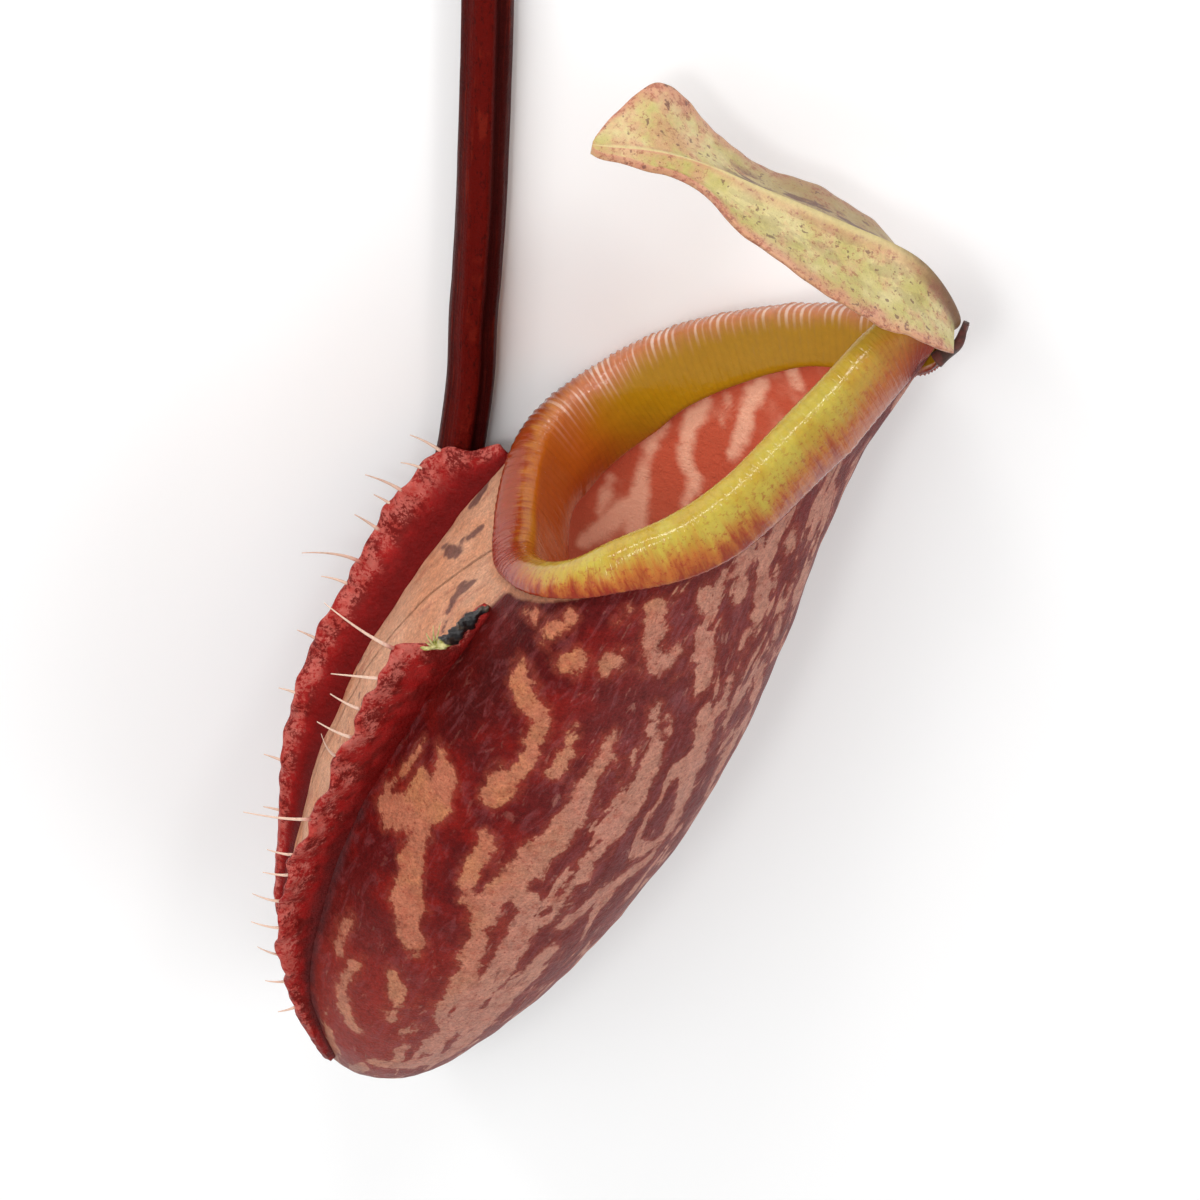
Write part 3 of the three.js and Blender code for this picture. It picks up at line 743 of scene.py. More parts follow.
def lid_material(lid):
    """Yellow-green with a pink edge, dark red specks and a row of purple dashes by the midrib."""
    look = Look(
        "lid_skin", subsurface_weight=0.12, subsurface_scale=MM,
        subsurface_radius=(0.8, 0.7, 0.2), specular_ior_level=0.25, coat_roughness=0.3,
    )
    cloud = look.cloud
    share, length, near = look.values("share", "length", "near")
    blotch, small = cloud(450, 4, 0.65), cloud(2000, 4, 0.8)
    edge = (share + cloud(700) * 0.4).step(0.7, 1.0)
    # long dashes that follow the midrib, most of all on the far half
    strips = look.place(length * 0.22, share * 3.2, near * 7)
    dashes = (cloud(1.7, 3, 0.6, over=strips) + cloud(1200) * 0.15).step(-0.01, 0.06)
    beside = share.step(0.02, 0.1) * share.step(0.75, 0.45)
    beside = beside * length.step(3, 8) * length.step(27, 22)
    # the midrib: a pale line, pink beside it, and dark where it joins the neck
    rib = share.step(0.09, 0.02) * length.step(8, 14)
    neck = (length * 0.5 + share * 11 + cloud(500, 4, 0.65) * 4).step(7.5, 4)
    skin = look.layers(
        look.mix(cloud(260).step(-0.12, 0.14), lid.green, lid.straw),
        ((blotch + length.step(24, 30) * 0.1).step(-0.04, 0.2) * 0.5, lid.pink),
        (edge * 0.7, lid.pink),
        ((1 - near) * length.step(27, 18) * 0.75, lid.olive),
        ((small + blotch * 0.3 + edge * 0.06).step(0.04, 0.15) * 0.6, lid.speck),
        (cloud(1300, 2, 0.6).step(0.13, 0.19) * 0.7, lid.dash),
        (dashes * beside * (1 - near * 0.75) * 0.85, lid.dash),
        (share.step(0.22, 0.06) * near * 0.4, lid.pink),
        (rib * 0.75, lid.straw),
        (neck * 0.85, lid.bark),
    )
    skin = look.dim(skin, 1 + cloud(2600, 3, 0.75) * 0.4)
    height = cloud(1100, 4, 0.65) + small * 0.5
    return look.finish(skin, 0.45 + cloud(900, 2) * 0.2, height, 0.18, coat=0.08)


def spur_material(spur):
    look = Look("dry_spur", sheen_weight=0.2)
    colour = look.mix(look.cloud(900).step(-0.1, 0.15), spur.brown, spur.rust)
    return look.finish(colour, 0.75 + look.cloud(1500, 2) * 0.2, look.cloud(2500), 0.12)


def tendril_material(tendril):
    """Dark red, with a painted highlight down the side that faces up and painted shade that makes
    its groove nearly black, with a pale pith where it is cut."""
    look = Look("tendril_skin", coat_roughness=0.3, specular_ior_level=0.04)
    cloud = look.cloud
    ridge, groove, length, side, cut = look.values("ridge", "groove", "length", "side", "cut")
    grain = cloud(1.7, 4, 0.7, 0.3, look.place(ridge * 4, length * 0.1, side * 4))
    bright = (grain + cloud(500) * 0.4 - 0.03).step(0.0, 0.16)
    specks = cloud(2600, 4, 0.8, over=look.stretched(look.here, (1, 0.4, 1))).step(0.02, 0.16)
    colour = look.layers(
        # brighter on the side that faces up: painted highlight
        look.mix((ridge + grain * 0.9).step(0.0, 0.9), tendril.dark, tendril.red),
        (bright * 0.45, tendril.rust),
        # nearly black in the groove: painted shade
        (groove * 0.7, tendril.black),
        (specks * 0.6, tendril.black),
        (cut.step(0.02, 0.04), look.mix(cut.step(0.78, 0.9), tendril.pith, tendril.rust)),
    )
    height = grain + cloud(2500, 4, 0.75) * 0.9
    return look.finish(colour, 0.45 + grain * 0.25, height, 0.2, coat=0.02)


def scar_material(scar):
    look = Look("dry_scar", coat_roughness=0.25)
    cloud, mix = look.cloud, look.mix
    torn, = look.values("torn")
    dead = mix(cloud(700).step(-0.1, 0.15), scar.black, scar.bark)
    frayed = mix(cloud(1500).step(-0.1, 0.1), scar.moss, scar.straw)
    colour = mix((torn + cloud(800) * 0.6).step(0.35, 0.65), dead, frayed)
    return look.finish(colour, 0.45 + cloud(1200, 2) * 0.4, cloud(1500, 4), 0.3, coat=0.3)


def floor_material(stage):
    look = Look("pale_floor")
    shade = look.dim(stage.floor, 1 + look.cloud(3, 2) * 0.01)
    return look.finish(shade, 0.7 + look.cloud(40, 2) * 0.05)


# ---- Settings ----------------------------------------------------------------------------------


def linear(shown):
    """A part of a colour, from 0 to 255 as the screen shows it, as the shader takes it."""
    c = shown / 255
    return c / 12.92 if c <= 0.04045 else ((c + 0.055) / 1.055) ** 2.4


def paint(description, red, green, blue):
    """A colour setting, given as a screen shows it."""
    return bpy.props.FloatVectorProperty(
        name=description.capitalize(), description="Colour of the " + description,
        subtype="COLOR", size=3, min=0, max=1, default=(linear(red), linear(green), linear(blue)),
    )


def millimetres(name, description, default, low=0.0, high=10.0):
    return bpy.props.FloatProperty(
        name=name, description=description + ", in millimetres", default=default, min=low, max=high,
    )


def power(name, description, default):
    return bpy.props.FloatProperty(name=name, description=description, default=default, min=0)


class CupSettings(bpy.types.PropertyGroup):
    """The cup: its skin's relief and its colours."""

    lumps: millimetres("Lumps", "Height of the skin's gentle unevenness", 0.22, 0, 1)
    ridges: millimetres("Ridges", "Height of the ridges along the skin", 0.05, 0, 1)
    maroon: paint("dark skin between the streaks", 92, 16, 16)
    crimson: paint("redder skin between the streaks", 120, 20, 15)
    # painted shade just below the rim's front
    shade_below_rim: paint("nearly black skin below the rim's front", 60, 10, 9)
    # colours of the foot and back below are partly painted sheen of the fuzz
    brick: paint("lighter skin between the streaks of the foot", 146, 54, 46)
    plum_and_sheen: paint("dusty skin on the back and foot", 112, 48, 46)
    dusk: paint("purple fibres in the dark skin", 124, 68, 70)
    salmon: paint("pale streaks", 180, 108, 82)
    tan: paint("yellower parts of the streaks", 182, 116, 80)
    bisque: paint("face between the wings", 204, 152, 122)
    apricot: paint("orange parts of the face between the wings", 200, 138, 104)
    rust: paint("rusty blush over the pale skin", 156, 70, 52)
    # partly painted sheen of the fuzz
    dusty_and_sheen: paint("streaks on the back and foot", 184, 130, 114)
    # also the painted shade under the rim's margin and in the crease
    slate_and_shade: paint("dashes on the face between the wings", 86, 54, 56)
    ash: paint("grey of the foot", 108, 86, 82)
    # the fuzz's own colour, also laid on as painted sheen
    fuzz_and_sheen: paint("short pale fuzz", 190, 160, 154)
    # the inner wall, which also glows with this colour as painted light through the wall
    coral: paint("inner wall", 184, 84, 60)
    blush: paint("streaks of the inner wall", 226, 170, 142)


class RimSettings(bpy.types.PropertyGroup):
    """The rolled rim: its ribs and its colours."""

    ribs: bpy.props.IntProperty(
        name="Ribs", description="Number of ribs round the rim", default=158, min=20, max=300,
    )
    rib_height: millimetres("Rib height", "Height of each rib above its grooves", 0.08, 0, 0.5)
    crest: paint("crest on the near side", 178, 146, 46)
    lime: paint("greener parts of the crest", 184, 164, 64)
    ochre: paint("inner flange", 172, 126, 18)
    amber: paint("deeper parts of the inner flange", 176, 90, 24)
    orange: paint("outer half of the near side", 176, 90, 38)
    pink: paint("crest of the far side", 204, 122, 92)
    # the painted highlights on the far side's wet ribs
    painted_glint: paint("wet ribs of the far side", 246, 226, 210)
    brick: paint("specks", 152, 50, 28)
    red: paint("streaks to the outer margin", 130, 26, 14)
    lilac: paint("thin line of the margin", 132, 98, 98)
    shade: paint("underside of the margin", 64, 30, 28)


class WingSettings(bpy.types.PropertyGroup):
    """The two fringed wings: their blades, hairs and colours."""

    edge_thickness: millimetres("Edge", "Thickness of a blade towards its edge", 0.8)
    root_flare: millimetres("Root flare", "How far a blade widens on each side into the cup", 0.5)
    wave: millimetres("Wave", "How far the edge waves from side to side", 0.42)
    hair: millimetres("Hair", "Thickness of a fringe hair at its root", 0.36)
    pink: paint("pale parts of the blades", 190, 98, 88)
    rose: paint("rosier parts of the blades", 172, 60, 52)
    crimson: paint("net of specks", 146, 20, 20)
    # these two also give the painted shade in the crease at the roots and on the far blade's inner
    # face
    deep: paint("roots of the blades", 100, 9, 8)
    dusk: paint("crease along the roots", 88, 34, 34)
    cream: paint("fringe hairs", 226, 192, 172)


class LidSettings(bpy.types.PropertyGroup):
    """The lid: its thickness and its colours."""

    thickness: millimetres("Thickness", "Thickness at the midrib", 0.9)
    green: paint("skin", 184, 172, 104)
    straw: paint("paler skin", 206, 192, 138)
    olive: paint("far half of the skin", 148, 120, 84)
    pink: paint("edge", 200, 130, 114)
    speck: paint("fine dark specks", 140, 68, 54)
    dash: paint("dashes beside the midrib", 96, 58, 56)
    bark: paint("skin at the neck", 96, 62, 48)


class SpurSettings(bpy.types.PropertyGroup):
    """The colours of the spur behind the lid's neck."""

    brown: paint("dry skin", 62, 40, 32)
    rust: paint("redder skin", 104, 52, 44)


class TendrilSettings(bpy.types.PropertyGroup):
    """The tendril: its groove and its colours."""

    groove: millimetres("Groove", "Depth of the groove along the tendril", 0.5, 0, 1)
    dark: paint("skin", 66, 12, 9)
    # the painted highlight on the side that faces up
    red: paint("skin on the ridge", 92, 14, 9)
    rust: paint("brighter fibres", 124, 36, 22)
    # the painted shade in the groove, and the specks
    black: paint("skin in the groove", 38, 9, 9)
    pith: paint("cut end", 196, 190, 140)


class ScarSettings(bpy.types.PropertyGroup):
    """The colours of the dry scar where the near wing ends."""

    black: paint("dead skin", 22, 18, 20)
    bark: paint("dry edge", 84, 66, 50)
    moss: paint("torn end", 150, 148, 64)
    straw: paint("frayed fibres", 206, 196, 136)


class StageSettings(bpy.types.PropertyGroup):
    """The floor and the lights."""

    floor: paint("floor", 250, 250, 250)
    key: power("Key", "Power of the main light, in watts", 1.2)
    fill: power("Fill", "Power of the side lights, in watts", 1.1)
    spark: power("Spark", "Power of the small lights, in watts", 0.4)
    sky: power("Sky", "Strength of the light all round", 0.4)


# ---- Builders ----------------------------------------------------------------------------------


def build_cup(cup):
    rows, columns = 250, 300
    rise = (np.arange(1, rows + 1) / rows) ** 1.15
    rise, turn = np.meshgrid(rise, circle(columns), indexing="ij")
    outer = cup_point(rise, turn)
    out = cup_frame(rise, turn)[1]
    lumps = wander(outer, 7.0, 1) * cup.lumps
    lengthwise = np.stack([outer[..., 2] / 1.5, np.cos(turn) * 8, rise * 6], -1)
    veins = wander(lengthwise, 1.3, 2, 2) * cup.ridges
    settle = ease(0.0, 0.12, rise) * ease(1.0, 0.93, rise)
    skin = outer + out * ((lumps + veins) * settle)[..., None]
    skin[..., 2] = np.maximum(skin[..., 2], -FOOT[2])
    inner = outer - out * WALL
    angle = np.minimum(turn, 2 * math.pi - turn)
    up_wing = (rise - WING_RISE[0]) / (WING_RISE[1] - WING_RISE[0])
    near_root, far_root = (np.radians(along(wing.turn, up_wing)) for wing in (NEAR_WING, FAR_WING))
    past_root = angle - np.where(turn < math.pi, near_root, far_root)
    past_root = past_root * along(CUP_RADIUS, rise)
    # the crease along the near wing's root, where the skin gets painted shade
    crease = np.exp(-(((past_root - 0.9) / 0.9) ** 2)) * (turn < math.pi) * ease(0.78, 0.6, rise)
    edge = cup_point(1, turn)
    drop = along(RIM_OUTER_DROP, angle / math.pi)
    below_rim = np.linalg.norm(outer - edge, axis=-1) - drop
    values = {
        "streak": mark_depth(outer, STREAKS),
        "drop": mark_depth(outer, DROPS),
        "dash": mark_depth(outer, DASHES),
        "stripe": mark_depth(outer, STRIPES, inside=True),
        "crease": crease * ease(0.2, 0.3, rise),
        "rise": outer[..., 1],
        "round": turn * 12,
        "out": np.sin(turn) * 3,
        "flank": angle / math.pi,
        "front": ease(0.4, -0.4, past_root) * ease(0.2, 0.3, rise),
        "band": below_rim,
    }
    values = {name: np.concatenate([value, value[::-1]]) for name, value in values.items()}
    values["inside"] = np.concatenate([np.zeros_like(rise), np.ones_like(rise)])
    rows = np.concatenate([skin, inner[::-1]])
    solid = Solid().tube(rows, np.array([0, 0, 0]), np.array([0, WALL, 0]), **values)
    solid.build("cup_skin", cup_material(cup), "cup", "cup")


def build_rim(rim):
    per_rib, steps = 6, 52
    columns = rim.ribs * per_rib
    end = math.pi - math.radians(RIM_OPENING)
    turn = np.linspace(end, -end, columns + 1)
    _, out, up = cup_frame(1, turn)
    edge = cup_point(1, turn) - out * WALL / 2
    back = np.abs(turn) / math.pi
    outer = -along(RIM_OUTER_DROP, back)
    inner = -along(RIM_INNER_DROP, back)
    reach = -along(RIM_REACH, back)
    # its section, out of the wall and up it: from the outer margin over the crest to the inner
    # edge, the eighth point, and back underneath
    zero = 0 * back
    section = [
        (0.85, outer), (1.45, outer - 0.05), (1.72, outer * 0.5), (1.3, 0.55), (0.2, 1.36),
        (-1.15, 1.05), (reach * 0.7 - 0.4, inner * 0.3), (reach - 0.25, inner),
        (reach + 0.5, inner + 0.15), (-1.5, -0.9), (0, -0.8), (0.8, -1.2), (0.85, outer),
    ]
    loop = np.array([np.stack([x + zero, y + zero], -1) for x, y in section])
    sections = len(section) - 1
    s = np.linspace(0, 1, steps, endpoint=False)
    smooth = through(loop.reshape(len(loop), -1), s).reshape(steps, columns + 1, 2)
    across = np.clip(s * sections / 7, 0, 1)[:, None]
    on_top = ease(0.02, 0.12, across) * ease(8.2 / sections, 7 / sections, s)[:, None]
    slide = np.gradient(smooth, axis=0)
    normal = unit(np.stack([-slide[..., 1], slide[..., 0]], -1))
    # fine ribs, plainer over the crest and stronger towards the margin of the far side
    rib = np.arange(columns + 1) / per_rib
    groove = 1 - np.abs(np.sin(rib * math.pi)) ** 0.8
    uneven = 1 + 0.3 * np.sin(rib * 1.7) * np.sin(rib * 0.37)
    far = ease(10, -14, np.degrees(turn))
    strength = 0.3 + 0.25 * ease(0.4, 0.15, across)
    strength = strength + 1.6 * far * ease(0.1, 0.3, back) * ease(0.75, 0.55, across)
    swell = rim.rib_height * strength * (0.5 - groove * uneven) * on_top
    # a thin raised lip along the outer margin
    swell = swell + 0.14 * np.exp(-(((across - 0.06) / 0.025) ** 2))
    smooth = smooth + normal * swell[..., None]
    rows = edge + smooth[..., :1] * out + smooth[..., 1:] * up
    # gentle lumps, worked out at every third column and evened out between them
    skip, even = 3, 7
    lumps = wander(rows[:, ::skip], 6.0, 4, 2).repeat(skip, axis=1)[:, : columns + 1] * 0.16
    lumps = np.pad(lumps, ((0, 0), (even // 2, even // 2)), "edge")
    lumps = np.array([np.convolve(line, np.ones(even) / even, "valid") for line in lumps])
    rows = rows + up * (lumps * on_top)[..., None]
    side = np.where(turn >= 0, 1, -1)
    rows[..., 2] = side * np.maximum(side * rows[..., 2], RIM_SEAM)
    solid = Solid().tube(
        rows.transpose(1, 0, 2), across=across.T, back=back[:, None], far=far[:, None],
        fold=ease(48, 12, np.degrees(np.abs(turn)))[:, None], rib=rib[:, None],
        groove=(groove * on_top).T,
    )
    solid.build("rim_ribs", rim_material(rim), "rim", "rolled_rim")


def wing_wave(blade, t, wave):
    """How far the edge waves to a side."""
    return wave * np.sin(t * WING_WAVES * 2 * math.pi) * np.minimum(1, blade.reach(t) / 4)


def build_wing(wing, blade):
    """A blade whose root spreads into the cup, with a thin crinkled edge."""
    side = blade.side
    stations = 320
    shares = np.concatenate([[-0.3, -0.08], np.linspace(0.02, 1, 18)])[:, None]
    t = np.linspace(0, 1, stations + 1)
    root, across, _, outwards = blade.frame(t)
    height = blade.reach(t)
    ragged = 1 + 0.04 * np.sin(t * 61) * np.sin(t * 23 + 1) + 0.02 * np.sin(t * 173)
    outer_share = np.maximum(shares, 0)
    reach = np.where(shares < 0, shares * 4, shares * height * ragged)
    crinkle = 0.14 * np.sin(t * 150 + outer_share * 3) * outer_share**3
    lean = wing_wave(blade, t, wing.wave) * outer_share**2 + crinkle
    half = wing.edge_thickness / 2 + wing.root_flare * np.exp(-np.maximum(reach, 0) / 1.1)
    half = half * (1 - 0.45 * ease(0.9, 1, outer_share)) * ease(1.012, 0.985, t)
    middle = root + outwards * reach[..., None] + across * lean[..., None]
    lip = middle[-1] + outwards * 0.12
    aside = across * half[..., None]
    faces = [middle - aside, lip[None], (middle + aside)[::-1]]
    rows = np.concatenate(faces).transpose(1, 0, 2)[:, ::-side]
    shared = np.concatenate([outer_share[:, 0], [1], outer_share[::-1, 0]])[::-side]
    length = (t * WING_PATTERN)[:, None]
    solid = Solid().tube(rows, reach=shared, far=float(side < 0), hair=0.0, length=length)
    for hair in blade.hairs:
        add_hair(solid, wing, blade, *hair)
    solid.build(blade.name, wing_material(wing), "wing", blade.node)


def add_hair(solid, wing, blade, at, long, bow, sweep):
    """A hair of the fringe, rooted a little below the blade's edge."""
    at = np.array([at])
    root, across, up, outwards = (v[0] for v in blade.frame(at))
    wave = wing_wave(blade, at, wing.wave)[0]
    base = root + outwards * (blade.reach(at)[0] - 0.7) + across * wave
    share = np.linspace(0, 1, 15)
    bend = (share**1.6 * long)[:, None]
    path = base + outwards * (share * (0.9 * long + 0.7))[:, None]
    path = path + (up * bow + across * sweep) * bend
    radius = wing.hair / 2 * (1.2 - 0.95 * share**0.8)
    solid.thread(
        path, radius, up, -blade.side * across, 6, start=base, end=path[-1], reach=1.0,
        far=float(blade.side < 0), hair=ease(0.05, 0.3, share)[:, None],
        length=at[0] * WING_PATTERN,
    )


def build_lid(lid):
    stations, strips = 170, 24
    t = np.linspace(0, 1, stations + 1)
    midrib = np.concatenate([through(LID_MIDRIB, t), np.zeros((len(t), 1))], axis=1)
    ahead = np.concatenate([tangent(LID_MIDRIB, t), np.zeros((len(t), 1))], axis=1)
    topside = np.stack([ahead[:, 1], -ahead[:, 0], np.zeros(len(t))], -1)
    share = np.linspace(-1, 1, 2 * strips + 1)[:, None]
    size = np.abs(share)
    width = np.where(share > 0, along(LID_NEAR_WIDTH, t), along(LID_FAR_WIDTH, t))
    width = width * np.sqrt(1 - 0.97 * np.clip((t - 0.95) / 0.05, 0, 1) ** 2)
    droop = np.radians(np.where(share > 0, along(LID_NEAR_DROOP, t), along(LID_FAR_DROOP, t)))
    # a keel along the midrib, a hollow beside it and an uneven edge
    ripple = 0.08 * np.sin(t * 47 + share * 2) * size**3 * ease(0.1, 0.3, t)
    notch = 0.02 * np.sin(t * 90 + share) * np.sin(t * 31) * size**4
    keel = 0.5 * np.exp(-((size * width / 0.45) ** 2)) * ease(0.03, 0.12, t) * ease(1, 0.8, t)
    hollow = -0.35 * np.sin(size * math.pi) ** 2 * ease(0.1, 0.3, t) * ease(0.95, 0.7, t)

    def face(depth):
        rise = keel + hollow - size * width * np.sin(droop) + ripple - depth
        point = midrib + topside * rise[..., None]
        point[..., 2] = share * width * np.cos(droop) * (1 + notch)
        return point

    thick = lid.thickness * (1 - 0.35 * size**2) * (1 - 0.7 * ease(0.94, 1, size)) * np.ones_like(t)
    rows = np.concatenate([face(thick), face(0 * thick)[::-1]]).transpose(1, 0, 2)
    shares = np.concatenate([share[:, 0], share[::-1, 0]])
    near, length = ease(-0.06, 0.06, shares), (t * LID_LENGTH)[:, None]
    solid = Solid().tube(rows, share=np.abs(shares), near=near, length=length)
    solid.build("lid_blade", lid_material(lid), "lid", "lid")


def build_spur(spur):
    def shape(t, angle):
        return 0.06 * np.sin(angle * 3 + t * 9)

    rows = stem_rows(SPUR_PATH, SPUR_RADIUS, 40, 14, np.array([0, 0, 1]), shape)[0]
    solid = Solid().tube(rows)
    # three short bristles at its tip
    for lean, long in ((-0.5, 0.9), (0.1, 0.7), (0.6, 0.8)):
        tip = np.array([49.15, 78.4, lean * 0.2])
        share = np.linspace(0, 1, 8)
        way = np.array([0.25 + 0.2 * lean, 0.2, lean * 0.5]) * long
        path = tip + share[:, None] * way
        solid.thread(path, 0.09 * (1 - 0.8 * share), np.array([0, 1, 0]), np.array([0, 0, 1]))
    solid.build("spur_bristle", spur_material(spur), "spur", "spur")


def build_tendril(tendril):
    def shape(t, angle):
        dip = np.exp(-((apart(angle, TENDRIL_GROOVE) / 0.28) ** 2))
        dip = tendril.groove * dip * ease(0, 0.25, t)
        ribs = 0.05 * np.sin(angle * 9 + np.sin(t * 9)) + 0.04 * np.sin(angle * 5 + t * 30)
        return ribs - dip

    rows, t, angle = stem_rows(TENDRIL_PATH, TENDRIL_RADIUS, 360, 48, np.array([1, 0, 0]), shape)
    rows = rows + 0.12 * wander(rows[:, :1], 9, 6, 2)[..., None] * np.array([1, 0, 0])
    rows[..., 2] = np.maximum(rows[..., 2], -FOOT[2])
    # the cut end: rings of shrinking size, each lifted a little past the cut
    middle = rows[-1].mean(axis=0)
    rings = ((0.97, 0.1), (0.85, 0.12), (0.6, 0.06), (0.3, 0.0))
    caps = [middle + (rows[-1] - middle) * size + np.array([0, lift, 0]) for size, lift in rings]
    cut = np.concatenate([np.zeros(len(rows)), [size for size, _ in rings]])
    length = np.concatenate([t, np.ones(len(caps))]) * TENDRIL_PATTERN
    solid = Solid().tube(
        np.concatenate([rows, caps]), ridge=ease(1.3, 0.1, apart(angle, TENDRIL_LIT_SIDE)),
        groove=ease(0.42, 0.12, apart(angle, TENDRIL_GROOVE)), length=length[:, None],
        side=np.sin(angle), cut=cut[:, None],
    )
    solid.build("tendril_stem", tendril_material(tendril), "tendril", "tendril")


def build_scar(scar):
    """A dry torn flake that lies along the top end of the near wing."""
    stations, sides = 70, 18
    t = np.linspace(0, 1, stations + 1)
    corners = np.array([1.0, 0.97, 0.94, 0.915, 0.9])
    root, across, up, outwards = NEAR_WING.frame(corners)
    lift = np.array([0.5, 1.0, 1.3, 2.0, 3.8])
    centre = through(root + outwards * lift[:, None] + across * 0.3, t)
    across, up, outwards = (way[2] for way in (across, up, outwards))
    angle, t = circle(sides), t[:, None]
    width = np.sin(math.pi * np.clip(0.03 + t * 0.94, 0, 1)) ** 0.6
    width = width * (1 + 0.3 * np.sin(t * 31) * np.sin(t * 12))
    rough = 1 + 0.22 * np.sin(angle * 3 + t * 26) + 0.12 * np.sin(angle * 7 - t * 60)
    rows = (
        centre[:, None]
        + outwards * (0.75 * width * np.cos(angle) * rough)[..., None]
        - across * (0.6 * width**0.5 * np.sin(angle) * rough)[..., None]
    )
    solid = Solid().tube(rows, torn=ease(0.62, 0.78, t))
    # frayed fibres at the torn end
    for lean, long in ((-0.5, 1.7), (0.1, 2.0), (0.7, 2.2), (1.3, 1.9)):
        share = np.linspace(0, 1, 9)
        way = outwards * (1 - 0.3 * abs(lean)) + up * (0.2 + 0.6 * lean) + across * 0.2
        path = way * share[:, None] * long + up * share[:, None] ** 2 * 0.3
        path = centre[int(0.85 * stations)] + path
        solid.thread(path, 0.2 * (1 - 0.8 * share), up, -across, torn=1.0)
    solid.build("dry_scar", scar_material(scar), "cup")


def look_at(thing, place, aim, up):
    """Puts a light or the camera at its place and turns it to its aim, the right way up."""
    back = unit(place - aim)
    right = unit(np.cross(up, back))
    turn = Matrix(np.stack([right, np.cross(back, right), back], axis=1).tolist()).to_4x4()
    thing.matrix_world = Matrix.Translation(Vector(((place + FOOT) * MM).tolist())) @ turn


def build_stage(stage):
    mesh = bpy.data.meshes.new("floor")
    half, count = 3.0, 13
    steps = np.linspace(-half, half, count)
    x, y = np.meshgrid(steps, steps, indexing="ij")
    first = [i * count + j for i in range(count - 1) for j in range(count - 1)]
    faces = [[k, k + count, k + count + 1, k + 1] for k in first]
    mesh.from_pydata(np.stack([x, y, 0 * x], -1).reshape(-1, 3).tolist(), [], faces)
    mesh.materials.append(floor_material(stage))
    floor = bpy.data.objects.new("floor", mesh)
    bpy.context.scene.collection.objects.link(floor)

    lens = bpy.data.cameras.new("view")
    lens.lens = lens.sensor_width * DISTANCE / FIELD
    lens.clip_start, lens.clip_end = 0.01, 20
    camera = bpy.data.objects.new("view", lens)
    bpy.context.scene.collection.objects.link(camera)
    look_at(camera, AIM + DISTANCE * TO_CAMERA, AIM, IMAGE_UP)
    bpy.context.scene.camera = camera

    # large lights that only shade, and small ones that also shine back from the wet rim
    for name, place, size, watts in (
        ("softbox_key", (-240, 300, 400), 380, stage.key),
        ("softbox_right", (440, -60, 380), 420, stage.fill),
        ("softbox_foot", (-160, -420, 300), 380, stage.fill * 0.6),
        ("spark_left", (-260, 450, 190), 70, stage.spark * 0.8),
        ("spark_back", (-40, 480, 190), 70, stage.spark * 0.8),
        ("spark_right", (180, 450, 190), 70, stage.spark * 0.8),
        ("spark_top", (-60, 300, 420), 60, stage.spark * 0.8),
    ):
        light = bpy.data.lights.new(name, "AREA")
        light.shape, light.size, light.energy = "SQUARE", size * MM, watts
        lamp = bpy.data.objects.new(name, light)
        lamp.visible_glossy = name.startswith("spark")
        bpy.context.scene.collection.objects.link(lamp)
        look_at(lamp, np.array(place, float), AIM, np.array([0.1, 0.2, 1]))

    world = bpy.data.worlds.new("studio")
    world.use_nodes = True
    sky = world.node_tree.nodes["Background"].inputs
    sky["Color"].default_value, sky["Strength"].default_value = (1, 1, 1, 1), stage.sky
    bpy.context.scene.world = world
    bpy.context.scene.view_settings.view_transform = "Standard"


# ---- Operators and the panel -------------------------------------------------------------------


class PITCHER_OT_cup(bpy.types.Operator):
    """Build the cup with its blotched skin and its hollow"""

    bl_idname = "pitcher.cup"
    bl_label = "Cup"

    def execute(self, context):
        build_cup(context.scene.pitcher_cup)
        return {"FINISHED"}


class PITCHER_OT_rim(bpy.types.Operator):
    """Build the rolled rim with its fine ribs"""

    bl_idname = "pitcher.rim"
    bl_label = "Rolled Rim"

    def execute(self, context):
        build_rim(context.scene.pitcher_rim)
        return {"FINISHED"}


class PITCHER_OT_wings(bpy.types.Operator):
    """Build the two wings up the cup's front with their fringes"""

    bl_idname = "pitcher.wings"
    bl_label = "Wings"

    def execute(self, context):
        wing = context.scene.pitcher_wing
        build_wing(wing, NEAR_WING)
        build_wing(wing, FAR_WING)
        return {"FINISHED"}


class PITCHER_OT_lid(bpy.types.Operator):
    """Build the lid over the mouth"""

    bl_idname = "pitcher.lid"
    bl_label = "Lid"

    def execute(self, context):
        build_lid(context.scene.pitcher_lid)
        return {"FINISHED"}


class PITCHER_OT_spur(bpy.types.Operator):
    """Build the dry bristle behind the lid"""

    bl_idname = "pitcher.spur"
    bl_label = "Spur"

    def execute(self, context):
        build_spur(context.scene.pitcher_spur)
        return {"FINISHED"}


class PITCHER_OT_tendril(bpy.types.Operator):
    """Build the tendril that the pitcher hangs on"""

    bl_idname = "pitcher.tendril"
    bl_label = "Tendril"

    def execute(self, context):
        build_tendril(context.scene.pitcher_tendril)
        return {"FINISHED"}


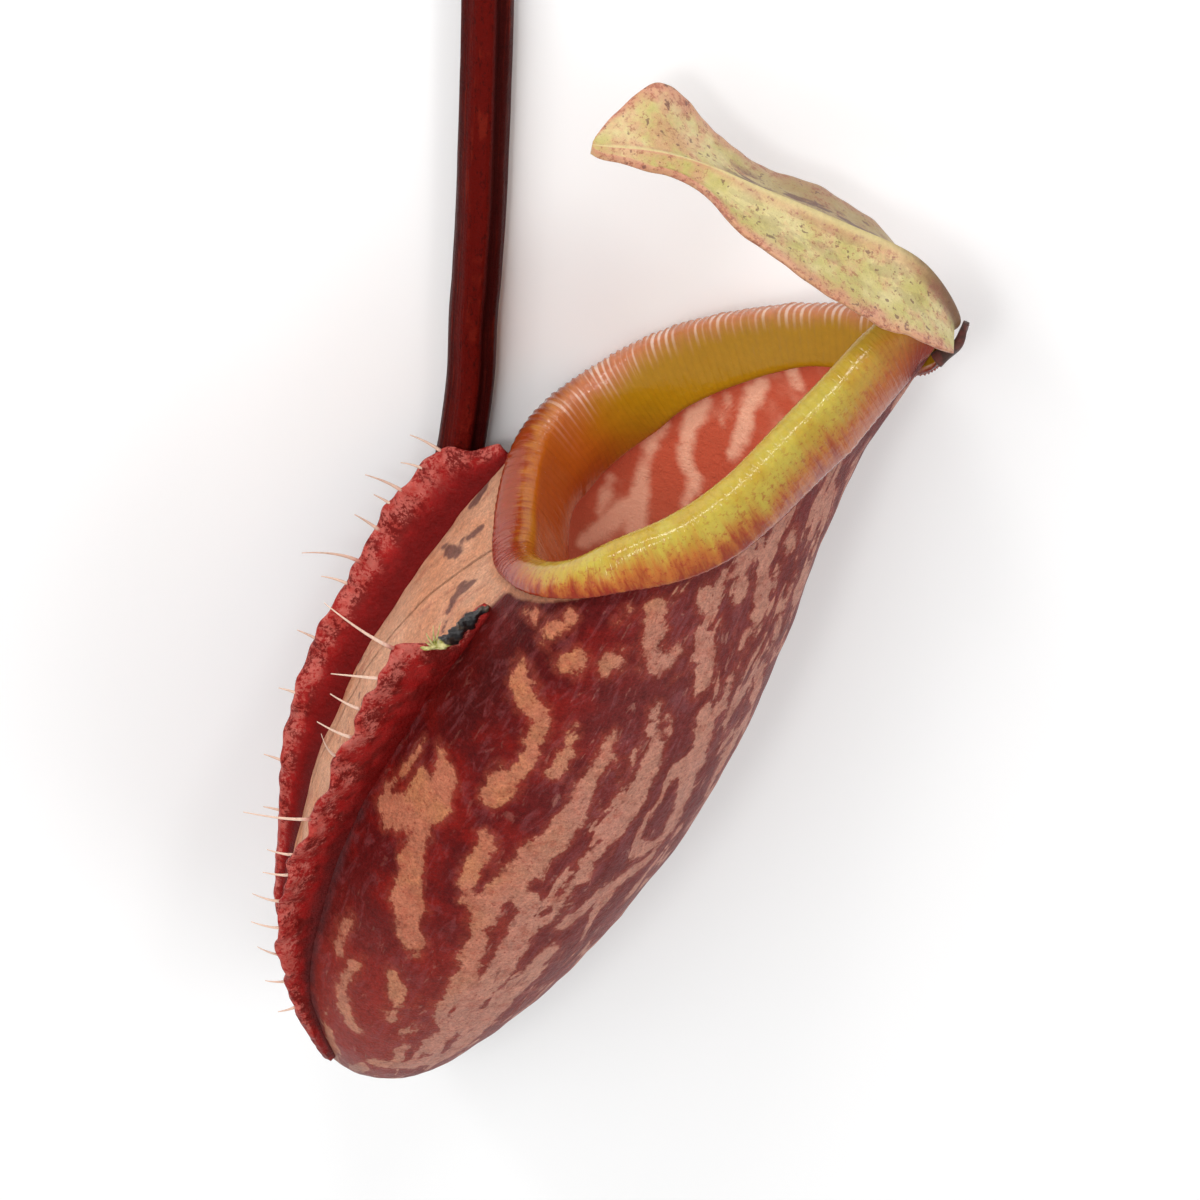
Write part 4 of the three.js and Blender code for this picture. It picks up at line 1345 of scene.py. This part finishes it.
class PITCHER_OT_scar(bpy.types.Operator):
    """Build the dry scar at the top of the near wing"""

    bl_idname = "pitcher.scar"
    bl_label = "Scar"

    def execute(self, context):
        build_scar(context.scene.pitcher_scar)
        return {"FINISHED"}


class PITCHER_OT_stage(bpy.types.Operator):
    """Build the floor, the camera and the lights"""

    bl_idname = "pitcher.stage"
    bl_label = "Stage"

    def execute(self, context):
        build_stage(context.scene.pitcher_stage)
        return {"FINISHED"}


SETTINGS = {
    "pitcher_cup": CupSettings,
    "pitcher_rim": RimSettings,
    "pitcher_wing": WingSettings,
    "pitcher_lid": LidSettings,
    "pitcher_spur": SpurSettings,
    "pitcher_tendril": TendrilSettings,
    "pitcher_scar": ScarSettings,
    "pitcher_stage": StageSettings,
}

OPERATORS = (
    PITCHER_OT_cup, PITCHER_OT_rim, PITCHER_OT_wings, PITCHER_OT_lid,
    PITCHER_OT_spur, PITCHER_OT_tendril, PITCHER_OT_scar, PITCHER_OT_stage,
)


class PITCHER_PT_panel(bpy.types.Panel):
    """Lists the pieces with their settings"""

    bl_idname = "PITCHER_PT_panel"
    bl_label = "Hanging Pitcher"
    bl_space_type = "VIEW_3D"
    bl_region_type = "UI"
    bl_category = "Pitcher"

    def draw(self, context):
        for (name, group), operator in zip(SETTINGS.items(), OPERATORS):
            box = self.layout.box()
            box.operator(operator.bl_idname)
            for setting in group.__annotations__:
                box.prop(getattr(context.scene, name), setting)


def register():
    for group in SETTINGS.values():
        bpy.utils.register_class(group)
    for name, group in SETTINGS.items():
        setattr(bpy.types.Scene, name, bpy.props.PointerProperty(type=group))
    for operator in OPERATORS:
        bpy.utils.register_class(operator)
    bpy.utils.register_class(PITCHER_PT_panel)


def unregister():
    bpy.utils.unregister_class(PITCHER_PT_panel)
    for operator in reversed(OPERATORS):
        bpy.utils.unregister_class(operator)
    for name in SETTINGS:
        delattr(bpy.types.Scene, name)
    for group in reversed(SETTINGS.values()):
        bpy.utils.unregister_class(group)


def main():
    register()
    for piece in ("cup", "rim", "wings", "lid", "spur", "tendril", "scar", "stage"):
        getattr(bpy.ops.pitcher, piece)()


if __name__ == "__main__":
    main()
